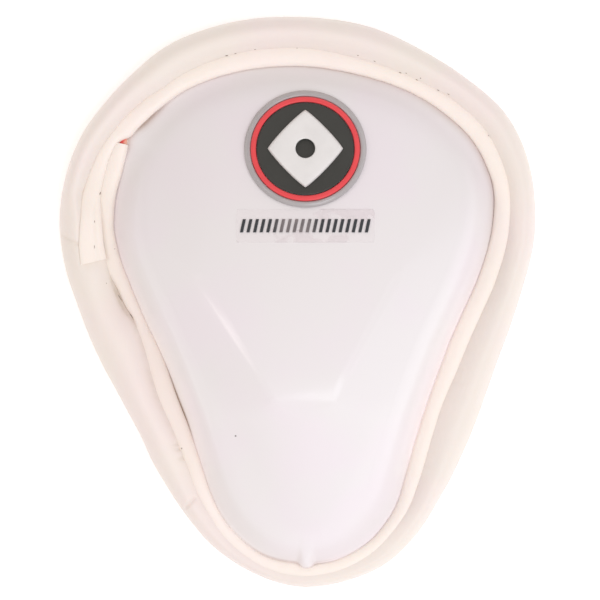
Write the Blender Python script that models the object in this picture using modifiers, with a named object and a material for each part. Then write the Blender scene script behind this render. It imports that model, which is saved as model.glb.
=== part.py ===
"""Abdominal guard: a hard cup in a padded rim, lying on the flat back of its rim.

Metres. X is across the guard, Y runs from its tip to its waist edge, Z out of its back.
"""
import math

import bmesh
import bpy
import numpy as np

# The hard cup, measured along its edge, without the rim
SHELL_WIDTH = 0.1098
SHELL_LENGTH = 0.1435
CUP_RISE = 0.044
SHELL_WALL = 0.0022
EDGE_ROUND = 0.009
LEAST_STEP = 0.0035
RIDGE_SOFTNESS = 0.0008
CORNER_SOFTNESS = 0.004

# The nub at the end of the keel
NUB_REACH = 0.0012
NUB_HALF_WIDTH = 0.0019

# The flange that the rim is sewn round
FLANGE_TOP = 0.006
FLANGE_IN_PAD_SHARE = 0.30

# The rim pad and the rolled strip on its inner side
PAD_WIDTH = 0.012
PAD_HEIGHT = 0.013
PAD_LIP = 0.0015
SEAM_DEPTH = 0.0036
STRIP_WIDTH = 0.005
STRIP_HEIGHT = 0.0042
CLEARANCE = 0.0003

# The strip's lap, measured along the cup's edge from the strip's cut start
LAP_LENGTH = 0.0308
LEAD_IN = 0.012
LAP_WIDTH = 0.0026
TAIL_WIDTH = 0.0071
TAIL_HEIGHT = 0.0024
JOINT_BEFORE_TAIL = 0.003
CORE_WIDTH = 0.0022
CORE_LENGTH = 0.0022

# The badge and the label, placed on the cup as shares of its half sizes
BADGE_ACROSS_SHARE = 0.0
BADGE_ALONG_SHARE = 0.665
BADGE_WIDTH = 0.0350
BADGE_HEIGHT = 0.0340
BEZEL_BAND = 0.0016
RING_BAND = 0.0014
BADGE_THICKNESS = 0.0012
EMBLEM_WIDTH = 0.0215
EMBLEM_HEIGHT = 0.0225
EMBLEM_THICKNESS = 0.0007
EMBLEM_HOLE = 0.0056
LABEL_GAP = 0.0004
LABEL_WIDTH = 0.0395
LABEL_HEIGHT = 0.0096
LABEL_THICKNESS = 0.0003

# Rows run from the strip's cut start down the left side and on round. The edge's place is
# across and along, shares of half the shell's width and length. Then come the strip's
# width, the pad's width beyond it and the pad's height, shares of their own sizes.
RIM_COLUMNS = ("across", "along", "strip", "pad", "height")
RIM_SHARES = (
    (-0.921, 0.673, 0.84, 0.86, 0.97),
    (-0.970, 0.561, 0.88, 0.94, 0.97),
    (-0.999, 0.402, 0.84, 1.02, 0.97),
    (-0.987, 0.251, 0.80, 1.00, 0.97),
    (-0.922, 0.113, 0.78, 1.04, 0.97),
    (-0.853, -0.002, 0.66, 1.14, 0.98),
    (-0.793, -0.105, 0.70, 1.11, 0.98),
    (-0.737, -0.202, 0.92, 0.97, 0.97),
    (-0.684, -0.301, 1.06, 0.85, 0.95),
    (-0.630, -0.412, 0.96, 0.80, 0.92),
    (-0.574, -0.549, 0.76, 0.77, 0.88),
    (-0.495, -0.723, 0.68, 0.54, 0.83),
    (-0.389, -0.864, 0.66, 0.35, 0.78),
    (-0.210, -0.968, 0.70, 0.245, 0.74),
    (-0.023, -1.000, 0.77, 0.275, 0.73),
    (0.167, -0.982, 0.72, 0.30, 0.74),
    (0.338, -0.909, 0.70, 0.42, 0.78),
    (0.467, -0.788, 0.70, 0.52, 0.83),
    (0.534, -0.628, 0.84, 0.72, 0.88),
    (0.593, -0.470, 0.86, 0.87, 0.92),
    (0.651, -0.335, 0.84, 0.93, 0.95),
    (0.707, -0.219, 0.96, 0.87, 0.96),
    (0.764, -0.108, 0.98, 0.84, 0.96),
    (0.834, 0.007, 0.94, 0.80, 0.95),
    (0.919, 0.155, 0.94, 0.70, 0.94),
    (0.986, 0.335, 0.92, 0.66, 0.93),
    (0.995, 0.503, 0.86, 0.62, 0.92),
    (0.949, 0.611, 0.92, 0.65, 0.92),
    (0.875, 0.706, 0.98, 0.66, 0.93),
    (0.742, 0.802, 0.98, 0.64, 0.94),
    (0.541, 0.900, 0.84, 0.72, 0.96),
    (0.277, 0.971, 0.90, 0.83, 0.99),
    (-0.023, 1.005, 1.04, 0.77, 1.00),
    (-0.328, 0.989, 1.02, 0.78, 1.00),
    (-0.600, 0.921, 0.88, 0.81, 0.98),
    (-0.765, 0.836, 0.90, 0.71, 0.97),
    (-0.860, 0.759, 0.96, 0.69, 0.97),
)

# The two ridges of the cup: their upper ends, the corners over the nose, and the keel's end
RIDGE_COLUMNS = ("side", "upper_across", "upper_along", "corner_across", "corner_along", "nub_across")
RIDGE_SHARES = (
    (-1, -0.920, 0.585, -0.155, -0.320, -0.030),
    (1, 0.863, 0.686, 0.188, -0.312, 0.036),
)

# Falls of the cup's faces from the ridge's top, shares of the rise, in v and v squared
WAIST_FALL_SHARES = (0.215, 0.66)
SIDE_FALL_SHARE = 0.418
NOSE_FALL_SHARES = (0.45, 0.35)
FLANK_FALL_SHARES = (0.80, 1.00)

# Rings of the cup from its edge inwards: shares of the edge's rounding, then of the way in
WALL_RING_SHARES = (0.0, 0.02, 0.08, 0.20, 0.40, 0.70, 1.0)
INNER_RING_SHARES = (0.86, 0.72, 0.58, 0.44, 0.30, 0.16)
RIM_STATIONS = 84
BADGE_SIDES = 32


def clear_scene():
    """Removes whatever the file holds."""
    for old in list(bpy.data.objects):
        bpy.data.objects.remove(old, do_unlink=True)


def closed_spline(rows, steps=40):
    """Runs a smooth closed curve through the rows, in every column at once."""
    points = np.array(rows, float)
    count = len(points)
    knots = [np.linalg.norm(points[(i + 1) % count, :2] - points[i, :2]) ** 0.5 for i in range(count)]
    samples = []
    for i in range(count):
        before, start, end, after = (points[(i + k) % count] for k in (-1, 0, 1, 2))
        k0, k1, k2 = knots[i - 1], knots[i], knots[(i + 1) % count]
        slope_in = (start - before) / k0 - (end - before) / (k0 + k1) + (end - start) / k1
        slope_out = (end - start) / k1 - (after - start) / (k1 + k2) + (after - end) / k2
        for t in np.arange(steps) / steps:
            samples.append((2 * t**3 - 3 * t**2 + 1) * start
                           + (t**3 - 2 * t**2 + t) * slope_in * k1
                           + (3 * t**2 - 2 * t**3) * end
                           + (t**3 - t**2) * slope_out * k1)
    return np.array(samples)


def make_rim():
    """Works out the cup's edge: its length, points, outward directions and widths."""
    columns = dict(zip(RIM_COLUMNS, closed_spline(RIM_SHARES).T))
    across = columns["across"] * SHELL_WIDTH / 2
    points = np.stack([across, columns["along"] * SHELL_LENGTH / 2], axis=1)
    ahead = np.roll(points, -1, axis=0) - points
    along = np.roll(points, -1, axis=0) - np.roll(points, 1, axis=0)
    along = (along + np.roll(along, 1, axis=0) + np.roll(along, -1, axis=0)) / 3
    outward = np.stack([along[:, 1], -along[:, 0]], axis=1)
    outward /= np.linalg.norm(outward, axis=1)[:, None]
    steps = np.linalg.norm(ahead, axis=1)
    place = np.concatenate([[0], np.cumsum(steps)])
    return {
        "length": place[-1],
        "place": place[:-1],
        "x": points[:, 0],
        "y": points[:, 1],
        "out_x": outward[:, 0],
        "out_y": outward[:, 1],
        "strip": columns["strip"] * STRIP_WIDTH,
        "pad": columns["pad"] * PAD_WIDTH,
        "height": columns["height"] * PAD_HEIGHT,
    }


def rim_at(rim, places):
    """Reads the rim at places along its edge."""
    found = {}
    for key in ("x", "y", "out_x", "out_y", "strip", "pad", "height"):
        found[key] = np.interp(places, rim["place"], rim[key], period=rim["length"])
    return found


def tip_place(rim):
    """The place of the keel's end on the edge."""
    return rim["place"][np.argmin(rim["y"])]


def nub_at(rim, places):
    """How far the nub pushes the edge outwards."""
    apart = (np.asarray(places) % rim["length"]) - tip_place(rim)
    return NUB_REACH * np.exp(-((apart / NUB_HALF_WIDTH) ** 2))


def pad_joint():
    """The place where the pad's two ends butt, under the strip's tail."""
    return LAP_LENGTH - JOINT_BEFORE_TAIL


def rim_places(rim):
    """The stations round the rim, closer where the strip laps and at the nub."""
    even = np.arange(RIM_STATIONS) * rim["length"] / RIM_STATIONS
    lap = [LAP_LENGTH + k * CLEARANCE for k in (-20, -10, 0, 2)]
    lead = [rim["length"] - LEAD_IN * k for k in (0.85, 0.6, 0.35, 0.15)]
    start = [CLEARANCE * 2, rim["length"] - CLEARANCE]
    joint = [pad_joint() - CLEARANCE / 2, pad_joint() + CLEARANCE / 2]
    nub = [tip_place(rim) + NUB_HALF_WIDTH * k for k in (-1.9, -1.0, -0.5, 0.0, 0.5, 1.0, 1.9)]
    chosen = sorted(lap + lead + start + joint + nub)
    kept = [p for p in even if min(abs(p - c) for c in chosen) > 3 * CLEARANCE]
    return np.array(sorted(kept + chosen))


def ease(value):
    """A smooth step from 0 to 1."""
    value = np.clip(value, 0.0, 1.0)
    return value * value * (3 - 2 * value)


def lap_lane(rim, places):
    """Inner side, width and height of the strip's last stretch, past its lead-in."""
    places = np.asarray(places, float)
    here = rim_at(rim, places)
    beyond = np.where(places > rim["length"] / 2, places - rim["length"], places)
    shift = ease((beyond + LEAD_IN) / (LEAD_IN - CLEARANCE))
    share = beyond / LAP_LENGTH
    inner = CLEARANCE + (here["strip"] + CLEARANCE) * shift
    tail = ease(share)
    lead = ease((beyond + LEAD_IN) / LEAD_IN)
    width = (here["strip"] - CLEARANCE) * (1 - lead) + LAP_WIDTH * lead
    width = width + (TAIL_WIDTH - LAP_WIDTH) * tail
    height = STRIP_HEIGHT + (TAIL_HEIGHT - STRIP_HEIGHT) * tail
    return beyond, inner, width, height


def groove_at(rim, places):
    """Where the pad's seam side stands: just outside the strip, or outside its lap."""
    here = rim_at(rim, places)
    plain = here["strip"] + CLEARANCE
    beyond, inner, width, _ = lap_lane(rim, places)
    lapped = (beyond > -LEAD_IN) & (beyond < LAP_LENGTH + 2.5 * CLEARANCE)
    return np.where(lapped, np.maximum(plain, inner + width + CLEARANCE), plain)


def soft_least(first, second, softness):
    """The lesser of two heights, rounded where they meet."""
    least = np.minimum(first, second)
    apart = np.abs(first - second) / softness
    return least - softness * np.log1p(np.exp(-apart))


def soft_ramp(value, softness):
    """Zero below, the value above, rounded between."""
    return 0.5 * (value + np.sqrt(value * value + softness * softness))


def ridge_across(y, row):
    """How far from the middle a ridge runs, and the slope factor of its direction."""
    ridge = dict(zip(RIDGE_COLUMNS, row))
    corner = ridge["corner_across"] * SHELL_WIDTH / 2
    upper = ridge["upper_across"] * SHELL_WIDTH / 2
    nub = ridge["nub_across"] * SHELL_WIDTH / 2
    corner_y = ridge["corner_along"] * SHELL_LENGTH / 2
    upper_y = ridge["upper_along"] * SHELL_LENGTH / 2
    opening = (upper - corner) / (upper_y - corner_y)
    closing = (nub - corner) / (corner_y + SHELL_LENGTH / 2)
    over = y - corner_y
    across = corner + opening * soft_ramp(over, CORNER_SOFTNESS)
    across = across + closing * soft_ramp(-over, CORNER_SOFTNESS)
    return across, 1 / math.hypot(1, opening)


def fall(shares, way):
    """How far a face falls over its way, from its two shares of the rise."""
    return CUP_RISE * (shares[0] * way + shares[1] * way * np.abs(way))


def side_fall(x):
    """How far the upper face falls to the sides."""
    return CUP_RISE * SIDE_FALL_SHARE * (x / (SHELL_WIDTH / 2)) ** 2


def cup_height(x, y):
    """Height of the cup's outer face above the rim's back, without its rounded edge."""
    half_width = SHELL_WIDTH / 2
    half_length = SHELL_LENGTH / 2
    top = FLANGE_TOP + CUP_RISE
    corners = [dict(zip(RIDGE_COLUMNS, row))["corner_along"] for row in RIDGE_SHARES]
    corner = sum(corners) / len(corners) * half_length
    up = np.maximum((y - corner) / (half_length - corner), -0.2)
    down = np.maximum((corner - y) / (corner + half_length), -0.2)
    waist = top - fall(WAIST_FALL_SHARES, up)
    nose = top - fall(NOSE_FALL_SHARES, down)
    face = soft_least(waist - side_fall(x), nose, RIDGE_SOFTNESS * 1.5)
    for row in RIDGE_SHARES:
        side = dict(zip(RIDGE_COLUMNS, row))["side"]
        ridge, lean = ridge_across(y, row)
        out = side * (x - ridge) * lean / half_width
        at_ridge = soft_least(waist - side_fall(ridge), nose, RIDGE_SOFTNESS * 1.5)
        flank = at_ridge - fall(FLANK_FALL_SHARES, out)
        face = soft_least(face, flank, RIDGE_SOFTNESS)
    lowest = FLANGE_TOP + LEAST_STEP
    return lowest + soft_ramp(face - lowest, LEAST_STEP)


def rounded_edge(height, inside):
    """Brings the cup's face down to its flange with a rounded shoulder."""
    share = np.clip(inside / EDGE_ROUND, 0, 1)
    return FLANGE_TOP + (height - FLANGE_TOP) * np.sqrt(1 - (1 - share) ** 2)


def flange_reach(rim, places):
    """Width of the flange, hidden in the rim's slot."""
    here = rim_at(rim, places)
    groove = groove_at(rim, places)
    left = here["strip"] + here["pad"] - groove
    return groove + FLANGE_IN_PAD_SHARE * left


def finish(mesh_data, name, places_smooth=True):
    """Makes an object from a mesh built in bmesh, faces outward."""
    bmesh.ops.recalc_face_normals(mesh_data, faces=mesh_data.faces)
    mesh = bpy.data.meshes.new(name)
    mesh_data.to_mesh(mesh)
    mesh_data.free()
    for face in mesh.polygons:
        face.use_smooth = places_smooth
    thing = bpy.data.objects.new(name, mesh)
    guard.objects.link(thing)
    thing.location = (-middle[0], -middle[1], 0)
    return thing


def paint(thing, colour, roughness, metallic=0.0):
    """Gives an object its own plain material."""
    material = bpy.data.materials.new(thing.name)
    material.use_nodes = True
    shader = material.node_tree.nodes["Principled BSDF"]
    shader.inputs["Base Color"].default_value = (*colour, 1)
    shader.inputs["Roughness"].default_value = roughness
    shader.inputs["Metallic"].default_value = metallic
    material.diffuse_color = (*colour, 1)
    thing.data.materials.append(material)


def loft(name, sections, closed):
    """Skins a run of like sections, capped at both ends unless it closes on itself."""
    build = bmesh.new()
    rings = [[build.verts.new(corner) for corner in section] for section in sections]
    count = len(rings[0])
    pairs = list(zip(rings, rings[1:]))
    if closed:
        pairs.append((rings[-1], rings[0]))
    for ring, after in pairs:
        for i in range(count):
            j = (i + 1) % count
            build.faces.new((ring[i], ring[j], after[j], after[i]))
    if not closed:
        build.faces.new(rings[0])
        build.faces.new(rings[-1][::-1])
    return finish(build, name)


def place_section(rim, place, profile):
    """Stands a profile of reach and height square to the edge at one place."""
    here = rim_at(rim, np.array([place]))
    x, y, out_x, out_y = (here[key][0] for key in ("x", "y", "out_x", "out_y"))
    return [(x + out_x * reach, y + out_y * reach, height) for reach, height in profile]


def make_cup(rim, places):
    """The hard cup: one open surface from the flange's end to the crown, given its wall."""
    here = rim_at(rim, places)
    edge = np.stack([here["x"], here["y"]], axis=1)
    outward = np.stack([here["out_x"], here["out_y"]], axis=1)
    nub = nub_at(rim, places)[:, None]
    rings = [(edge + outward * flange_reach(rim, places)[:, None], None)]
    for share in WALL_RING_SHARES:
        inside = EDGE_ROUND * share
        rings.append((edge + outward * (nub * (1 - share) - inside), inside))
    innermost = rings[-1][0]
    crown = np.array([0.0, 0.0])
    for share in INNER_RING_SHARES:
        rings.append((crown + (innermost - crown) * share, EDGE_ROUND))
    build = bmesh.new()
    levels = []
    for points, inside in rings:
        if inside is None:
            heights = np.full(len(points), FLANGE_TOP)
        else:
            heights = rounded_edge(cup_height(points[:, 0], points[:, 1]), inside)
        levels.append([build.verts.new((x, y, z)) for (x, y), z in zip(points, heights)])
    peak = build.verts.new((crown[0], crown[1], float(cup_height(crown[0], crown[1]))))
    count = len(places)
    for outer, inner in zip(levels, levels[1:]):
        for i in range(count):
            j = (i + 1) % count
            build.faces.new((outer[i], outer[j], inner[j], inner[i]))
    for i in range(count):
        build.faces.new((levels[-1][i], levels[-1][(i + 1) % count], peak))
    cup = finish(build, "cup_shell")
    if cup.data.polygons[-1].normal.z < 0:
        cup.data.flip_normals()
    wall = cup.modifiers.new("Wall", "SOLIDIFY")
    wall.thickness = SHELL_WALL
    wall.offset = -1
    wall.use_even_offset = True
    paint(cup, (0.86, 0.83, 0.85), 0.25)
    return cup


def pad_profile(rim, place):
    """The pad's section: a flat back, a round outer side, the seam side and the flange's slot."""
    here = rim_at(rim, np.array([place]))
    strip, pad, top = (here[key][0] for key in ("strip", "pad", "height"))
    groove = float(groove_at(rim, [place])[0])
    outer = strip + pad
    width = outer - groove
    reach = float(flange_reach(rim, [place])[0]) + CLEARANCE
    seat = FLANGE_TOP + CLEARANCE
    slot = FLANGE_TOP - SHELL_WALL - CLEARANCE
    seam = min(FLANGE_TOP + SEAM_DEPTH, top - 0.12 * width)
    step = FLANGE_TOP + (seam - FLANGE_TOP) * 0.5
    foot = -PAD_LIP
    return [
        (foot, 0.0),
        (outer - 0.16 * width, 0.0),
        (outer - 0.04 * width, 0.13 * top),
        (outer, 0.38 * top),
        (outer - 0.05 * width, 0.66 * top),
        (outer - 0.20 * width, 0.88 * top),
        (outer - 0.46 * width, top),
        (groove + 0.22 * width, top - 0.03 * width),
        (groove + 0.05 * width, seam),
        (groove, step),
        (groove, seat),
        (reach, seat),
        (reach, slot),
        (foot, slot),
    ]


def make_pad(rim, places):
    """The foam roll in leathercloth, one length whose ends butt on the left."""
    start = pad_joint() + CLEARANCE / 2
    end = pad_joint() - CLEARANCE / 2
    after = [p for p in places if p > start]
    before = [p + rim["length"] for p in places if p < end]
    run = [start] + after + before + [end + rim["length"]]
    sections = [place_section(rim, p, pad_profile(rim, p % rim["length"])) for p in run]
    pad = loft("rim_pad", sections, closed=False)
    paint(pad, (0.88, 0.83, 0.77), 0.6)
    return pad


def strip_profile(inner, outer, height):
    """A rolled strip's section: flat where it lies on the flange, round above."""
    width = outer - inner
    base = FLANGE_TOP + CLEARANCE
    return [
        (inner + 0.06 * width, base),
        (outer - 0.06 * width, base),
        (outer, base + 0.22 * height),
        (outer - 0.03 * width, base + 0.62 * height),
        (outer - 0.22 * width, base + 0.92 * height),
        (outer - 0.50 * width, base + height),
        (inner + 0.22 * width, base + 0.92 * height),
        (inner + 0.03 * width, base + 0.62 * height),
        (inner, base + 0.22 * height),
    ]


def make_strip(rim, places):
    """The rolled strip, from its cut start once round and out over its own start."""
    sections = []
    for place in places:
        here = rim_at(rim, np.array([place]))
        beyond, inner, width, height = (v[0] for v in lap_lane(rim, [place]))
        thick = STRIP_HEIGHT * min(1.0, here["height"][0] / PAD_HEIGHT + 0.05)
        if place > rim["length"] - LEAD_IN:
            profile = strip_profile(inner, inner + width, thick)
        else:
            inner = CLEARANCE + float(nub_at(rim, [place])[0])
            profile = strip_profile(inner, here["strip"][0], thick)
        sections.append(place_section(rim, place, profile))
    for place in places[places <= LAP_LENGTH + CLEARANCE / 10]:
        beyond, inner, width, height = (v[0] for v in lap_lane(rim, [place]))
        sections.append(place_section(rim, place, strip_profile(inner, inner + width, height)))
    strip = loft("edge_binding", sections[1:], closed=False)
    paint(strip, (0.90, 0.85, 0.79), 0.55)
    return strip


def make_core_end(rim):
    """The end of the strip's red core, showing just past the strip's cut start."""
    here = rim_at(rim, np.array([0.0]))
    reach = here["strip"][0] * 0.42
    length = CORE_LENGTH
    profile = strip_profile(reach - CORE_WIDTH / 2, reach + CORE_WIDTH / 2, CORE_WIDTH)
    first = place_section(rim, rim["length"] - length, profile)
    last = place_section(rim, rim["length"] + CLEARANCE, profile)
    core = loft("binding_core_end", [first, last], closed=False)
    paint(core, (0.75, 0.12, 0.10), 0.6)
    return core


def ring_outline(width, height, sides=BADGE_SIDES):
    """An oval as points about the badge's middle."""
    turns = np.arange(sides) * 2 * math.pi / sides
    return np.stack([width / 2 * np.cos(turns), height / 2 * np.sin(turns)], axis=1)


def lozenge_outline(width, height, sides=BADGE_SIDES):
    """A lozenge with slightly rounded corners, with a point at every turn of the oval."""
    turns = np.arange(sides) * 2 * math.pi / sides
    reach = 1 / (np.abs(np.cos(turns)) / (width / 2) + np.abs(np.sin(turns)) / (height / 2))
    return np.stack([reach * np.cos(turns), reach * np.sin(turns)], axis=1)


def curved_plate(name, outlines, centre, lift, thickness, filled):
    """A plate that follows the cup, skinned through outlines from the outer one inwards."""
    build = bmesh.new()
    levels = []
    for rise in (lift, lift + thickness):
        rings = []
        for outline in outlines:
            x = outline[:, 0] + centre[0]
            y = outline[:, 1] + centre[1]
            rings.append([build.verts.new(v) for v in zip(x, y, cup_height(x, y) + rise)])
        levels.append(rings)
    count = len(outlines[0])
    bottom, top = levels
    for i in range(count):
        j = (i + 1) % count
        for rings in levels:
            for outer, inner in zip(rings, rings[1:]):
                build.faces.new((outer[i], outer[j], inner[j], inner[i]))
        build.faces.new((bottom[0][i], bottom[0][j], top[0][j], top[0][i]))
        if not filled:
            build.faces.new((bottom[-1][i], bottom[-1][j], top[-1][j], top[-1][i]))
    if filled:
        for rings, rise in zip(levels, (lift, lift + thickness)):
            height = float(cup_height(centre[0], centre[1])) + rise
            middle_point = build.verts.new((centre[0], centre[1], height))
            for i in range(count):
                build.faces.new((rings[-1][i], rings[-1][(i + 1) % count], middle_point))
    return finish(build, name, places_smooth=False)


def make_badge():
    """The badge: a clear bezel, a red ring in it, a black field, and a raised figure."""
    centre = (BADGE_ACROSS_SHARE * SHELL_WIDTH / 2, BADGE_ALONG_SHARE * SHELL_LENGTH / 2)
    ring_width = BADGE_WIDTH - 2 * BEZEL_BAND - 2 * CLEARANCE
    ring_height = BADGE_HEIGHT - 2 * BEZEL_BAND - 2 * CLEARANCE
    field_width = ring_width - 2 * RING_BAND - 2 * CLEARANCE
    field_height = ring_height - 2 * RING_BAND - 2 * CLEARANCE
    bands = (
        ("badge_bezel", BADGE_WIDTH, BADGE_HEIGHT, BEZEL_BAND, (0.52, 0.47, 0.45), 0.2),
        ("badge_ring", ring_width, ring_height, RING_BAND, (0.78, 0.08, 0.08), 0.35),
    )
    for name, width, height, band, colour, roughness in bands:
        outlines = [ring_outline(width, height), ring_outline(width - 2 * band, height - 2 * band)]
        paint(curved_plate(name, outlines, centre, CLEARANCE, BADGE_THICKNESS, False), colour, roughness)
    outlines = [ring_outline(field_width * k, field_height * k) for k in (1.0, 0.66, 0.33)]
    field = curved_plate("badge_field", outlines, centre, CLEARANCE, BADGE_THICKNESS, True)
    paint(field, (0.035, 0.035, 0.032), 0.4)
    lift = BADGE_THICKNESS + 2 * CLEARANCE
    hole = ring_outline(EMBLEM_HOLE, EMBLEM_HOLE)
    outer = lozenge_outline(EMBLEM_WIDTH, EMBLEM_HEIGHT)
    outlines = [outer, (outer + hole) / 2, hole]
    emblem = curved_plate("badge_emblem", outlines, centre, lift, EMBLEM_THICKNESS, False)
    paint(emblem, (0.85, 0.82, 0.81), 0.35)


def make_label():
    """The clear film label under the badge."""
    columns = 10
    rows = 2
    middle_x = BADGE_ACROSS_SHARE * SHELL_WIDTH / 2
    badge_y = BADGE_ALONG_SHARE * SHELL_LENGTH / 2
    middle_y = badge_y - BADGE_HEIGHT / 2 - LABEL_GAP - LABEL_HEIGHT / 2
    build = bmesh.new()
    levels = []
    for rise in (CLEARANCE, CLEARANCE + LABEL_THICKNESS):
        grid = []
        for j in range(rows + 1):
            y = middle_y + LABEL_HEIGHT * (j / rows - 0.5)
            xs = middle_x + LABEL_WIDTH * (np.arange(columns + 1) / columns - 0.5)
            grid.append([build.verts.new((x, y, float(cup_height(x, y)) + rise)) for x in xs])
        levels.append(grid)
    for grid in levels:
        for j in range(rows):
            for i in range(columns):
                build.faces.new((grid[j][i], grid[j][i + 1], grid[j + 1][i + 1], grid[j + 1][i]))
    below, above = levels
    border = [(0, i) for i in range(columns)] + [(j, columns) for j in range(rows)]
    border += [(rows, i) for i in range(columns, 0, -1)] + [(j, 0) for j in range(rows, 0, -1)]
    for (j0, i0), (j1, i1) in zip(border, border[1:] + border[:1]):
        build.faces.new((below[j0][i0], below[j1][i1], above[j1][i1], above[j0][i0]))
    label = finish(build, "clear_label", places_smooth=False)
    paint(label, (0.80, 0.78, 0.80), 0.15)


clear_scene()
guard = bpy.data.collections.new("abdominal_guard")
bpy.context.scene.collection.children.link(guard)
edge_line = make_rim()
stations = rim_places(edge_line)
outer_reach = edge_line["strip"] + edge_line["pad"]
outer_x = edge_line["x"] + edge_line["out_x"] * outer_reach
outer_y = edge_line["y"] + edge_line["out_y"] * outer_reach
middle = ((outer_x.min() + outer_x.max()) / 2, (outer_y.min() + outer_y.max()) / 2)
make_cup(edge_line, stations)
make_pad(edge_line, stations)
make_strip(edge_line, stations)
make_core_end(edge_line)
make_badge()
make_label()
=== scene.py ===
"""Looks of the abdominal guard: a milky plastic cup set into a padded leathercloth rim."""
import math

import bmesh
import bpy
import numpy as np
from mathutils.bvhtree import BVHTree
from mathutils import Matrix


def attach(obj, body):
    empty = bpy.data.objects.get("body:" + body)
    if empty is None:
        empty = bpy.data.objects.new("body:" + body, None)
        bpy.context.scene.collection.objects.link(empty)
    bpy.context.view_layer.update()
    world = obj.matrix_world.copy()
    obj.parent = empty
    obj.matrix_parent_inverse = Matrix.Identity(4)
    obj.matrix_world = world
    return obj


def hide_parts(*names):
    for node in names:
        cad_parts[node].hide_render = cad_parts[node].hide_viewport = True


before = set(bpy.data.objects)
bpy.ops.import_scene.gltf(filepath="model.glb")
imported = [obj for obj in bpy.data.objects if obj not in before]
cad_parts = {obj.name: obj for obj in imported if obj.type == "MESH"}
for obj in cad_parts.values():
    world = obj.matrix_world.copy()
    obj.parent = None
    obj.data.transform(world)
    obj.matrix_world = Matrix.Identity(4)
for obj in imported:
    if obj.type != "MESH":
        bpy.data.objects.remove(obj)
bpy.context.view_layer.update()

# The cup
# One injection-moulded piece of milky polypropylene, 2.2 mm thick and hollow, with a flat
# flange all round. Its face has two ridges that meet a keel at the front, and the keel ends
# in a small round nub. The flange goes into the slot of the rim, which is glued round it.
SHELL_WIDTH = 0.1098
SHELL_LENGTH = 0.1435
CUP_RISE = 0.044
SHELL_WALL = 0.0022
EDGE_ROUND = 0.009
LEAST_STEP = 0.0035
FLANGE_TOP = 0.006
FLANGE_REACH = 0.006
PAD_WIDTH = 0.012
PAD_HEIGHT = 0.013
STRIP_WIDTH = 0.005
EDGE_SMOOTHINGS = 20
RIM_COLUMNS = ("across", "along", "strip", "pad", "height")
RIM_SHARES = (
    (-0.921, 0.673, 0.84, 0.86, 0.97),
    (-0.970, 0.561, 0.88, 0.94, 0.97),
    (-0.999, 0.402, 0.84, 1.02, 0.97),
    (-0.987, 0.251, 0.80, 1.00, 0.97),
    (-0.922, 0.113, 0.78, 1.04, 0.97),
    (-0.853, -0.002, 0.66, 1.14, 0.98),
    (-0.793, -0.105, 0.70, 1.11, 0.98),
    (-0.737, -0.202, 0.92, 0.97, 0.97),
    (-0.684, -0.301, 1.06, 0.85, 0.95),
    (-0.630, -0.412, 0.96, 0.80, 0.92),
    (-0.574, -0.549, 0.76, 0.77, 0.88),
    (-0.495, -0.723, 0.68, 0.54, 0.83),
    (-0.389, -0.864, 0.66, 0.35, 0.78),
    (-0.210, -0.968, 0.70, 0.245, 0.74),
    (-0.023, -1.000, 0.77, 0.275, 0.73),
    (0.167, -0.982, 0.72, 0.30, 0.74),
    (0.338, -0.909, 0.70, 0.42, 0.78),
    (0.467, -0.788, 0.70, 0.52, 0.83),
    (0.534, -0.628, 0.84, 0.72, 0.88),
    (0.593, -0.470, 0.86, 0.87, 0.92),
    (0.651, -0.335, 0.84, 0.93, 0.95),
    (0.707, -0.219, 0.96, 0.87, 0.96),
    (0.764, -0.108, 0.98, 0.84, 0.96),
    (0.834, 0.007, 0.94, 0.80, 0.95),
    (0.919, 0.155, 0.94, 0.70, 0.94),
    (0.986, 0.335, 0.92, 0.66, 0.93),
    (0.995, 0.503, 0.86, 0.62, 0.92),
    (0.949, 0.611, 0.92, 0.65, 0.92),
    (0.875, 0.706, 0.98, 0.66, 0.93),
    (0.742, 0.802, 0.98, 0.64, 0.94),
    (0.541, 0.900, 0.84, 0.72, 0.96),
    (0.277, 0.971, 0.90, 0.83, 0.99),
    (-0.023, 1.005, 1.04, 0.77, 1.00),
    (-0.328, 0.989, 1.02, 0.78, 1.00),
    (-0.600, 0.921, 0.88, 0.81, 0.98),
    (-0.765, 0.836, 0.90, 0.71, 0.97),
    (-0.860, 0.759, 0.96, 0.69, 0.97),
)
RIDGE_COLUMNS = ("side", "upper_across", "upper_along", "corner_across", "corner_along", "nub_across")
RIDGE_SHARES = (
    (-1, -0.893, 0.585, -0.1495, -0.335, -0.030),
    (1, 0.863, 0.686, 0.152, -0.294, 0.036),
)
WAIST_FALL_SHARES = (0.215, 0.66)
SIDE_FALL_SHARE = 0.418
NOSE_FALL_SHARES = (0.45, 0.35)
FLANK_FALL_SHARES = (0.80, 1.00)
CORNER_SOFTNESS = 0.004
RIDGE_CRISP = 0.00005
RIDGE_CUT = 0.00020
RIDGE_SOFT = 0.0034
RIDGE_LENGTH = 0.032
RIDGE_FADE = 0.040
KEEL_SOFT = 0.0030
KEEL_FADE = 0.010
FRONT_SOFT = 0.0011
CUT_FADE = 4
LEAST_WAY = -0.2
NUB_REACH = 0.0017
NUB_HALF_WIDTH = 0.0021
NUB_RISE = 0.0013
NUB_ACROSS = 0.8
NUB_ALONG = 1.4
NUB_SET_IN = 0.0006
STEEP_SIDES = 4
FOOT_TOP = 0.0084
COVERED = 0.0003
SHOULDER_POWER = 0.8
FLANGE_SHARE = 0.3
GLUE_WIDTH = 0.0008
GLUE_DROP = 0.0007
GLUE_BEAD = 1.2
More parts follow.
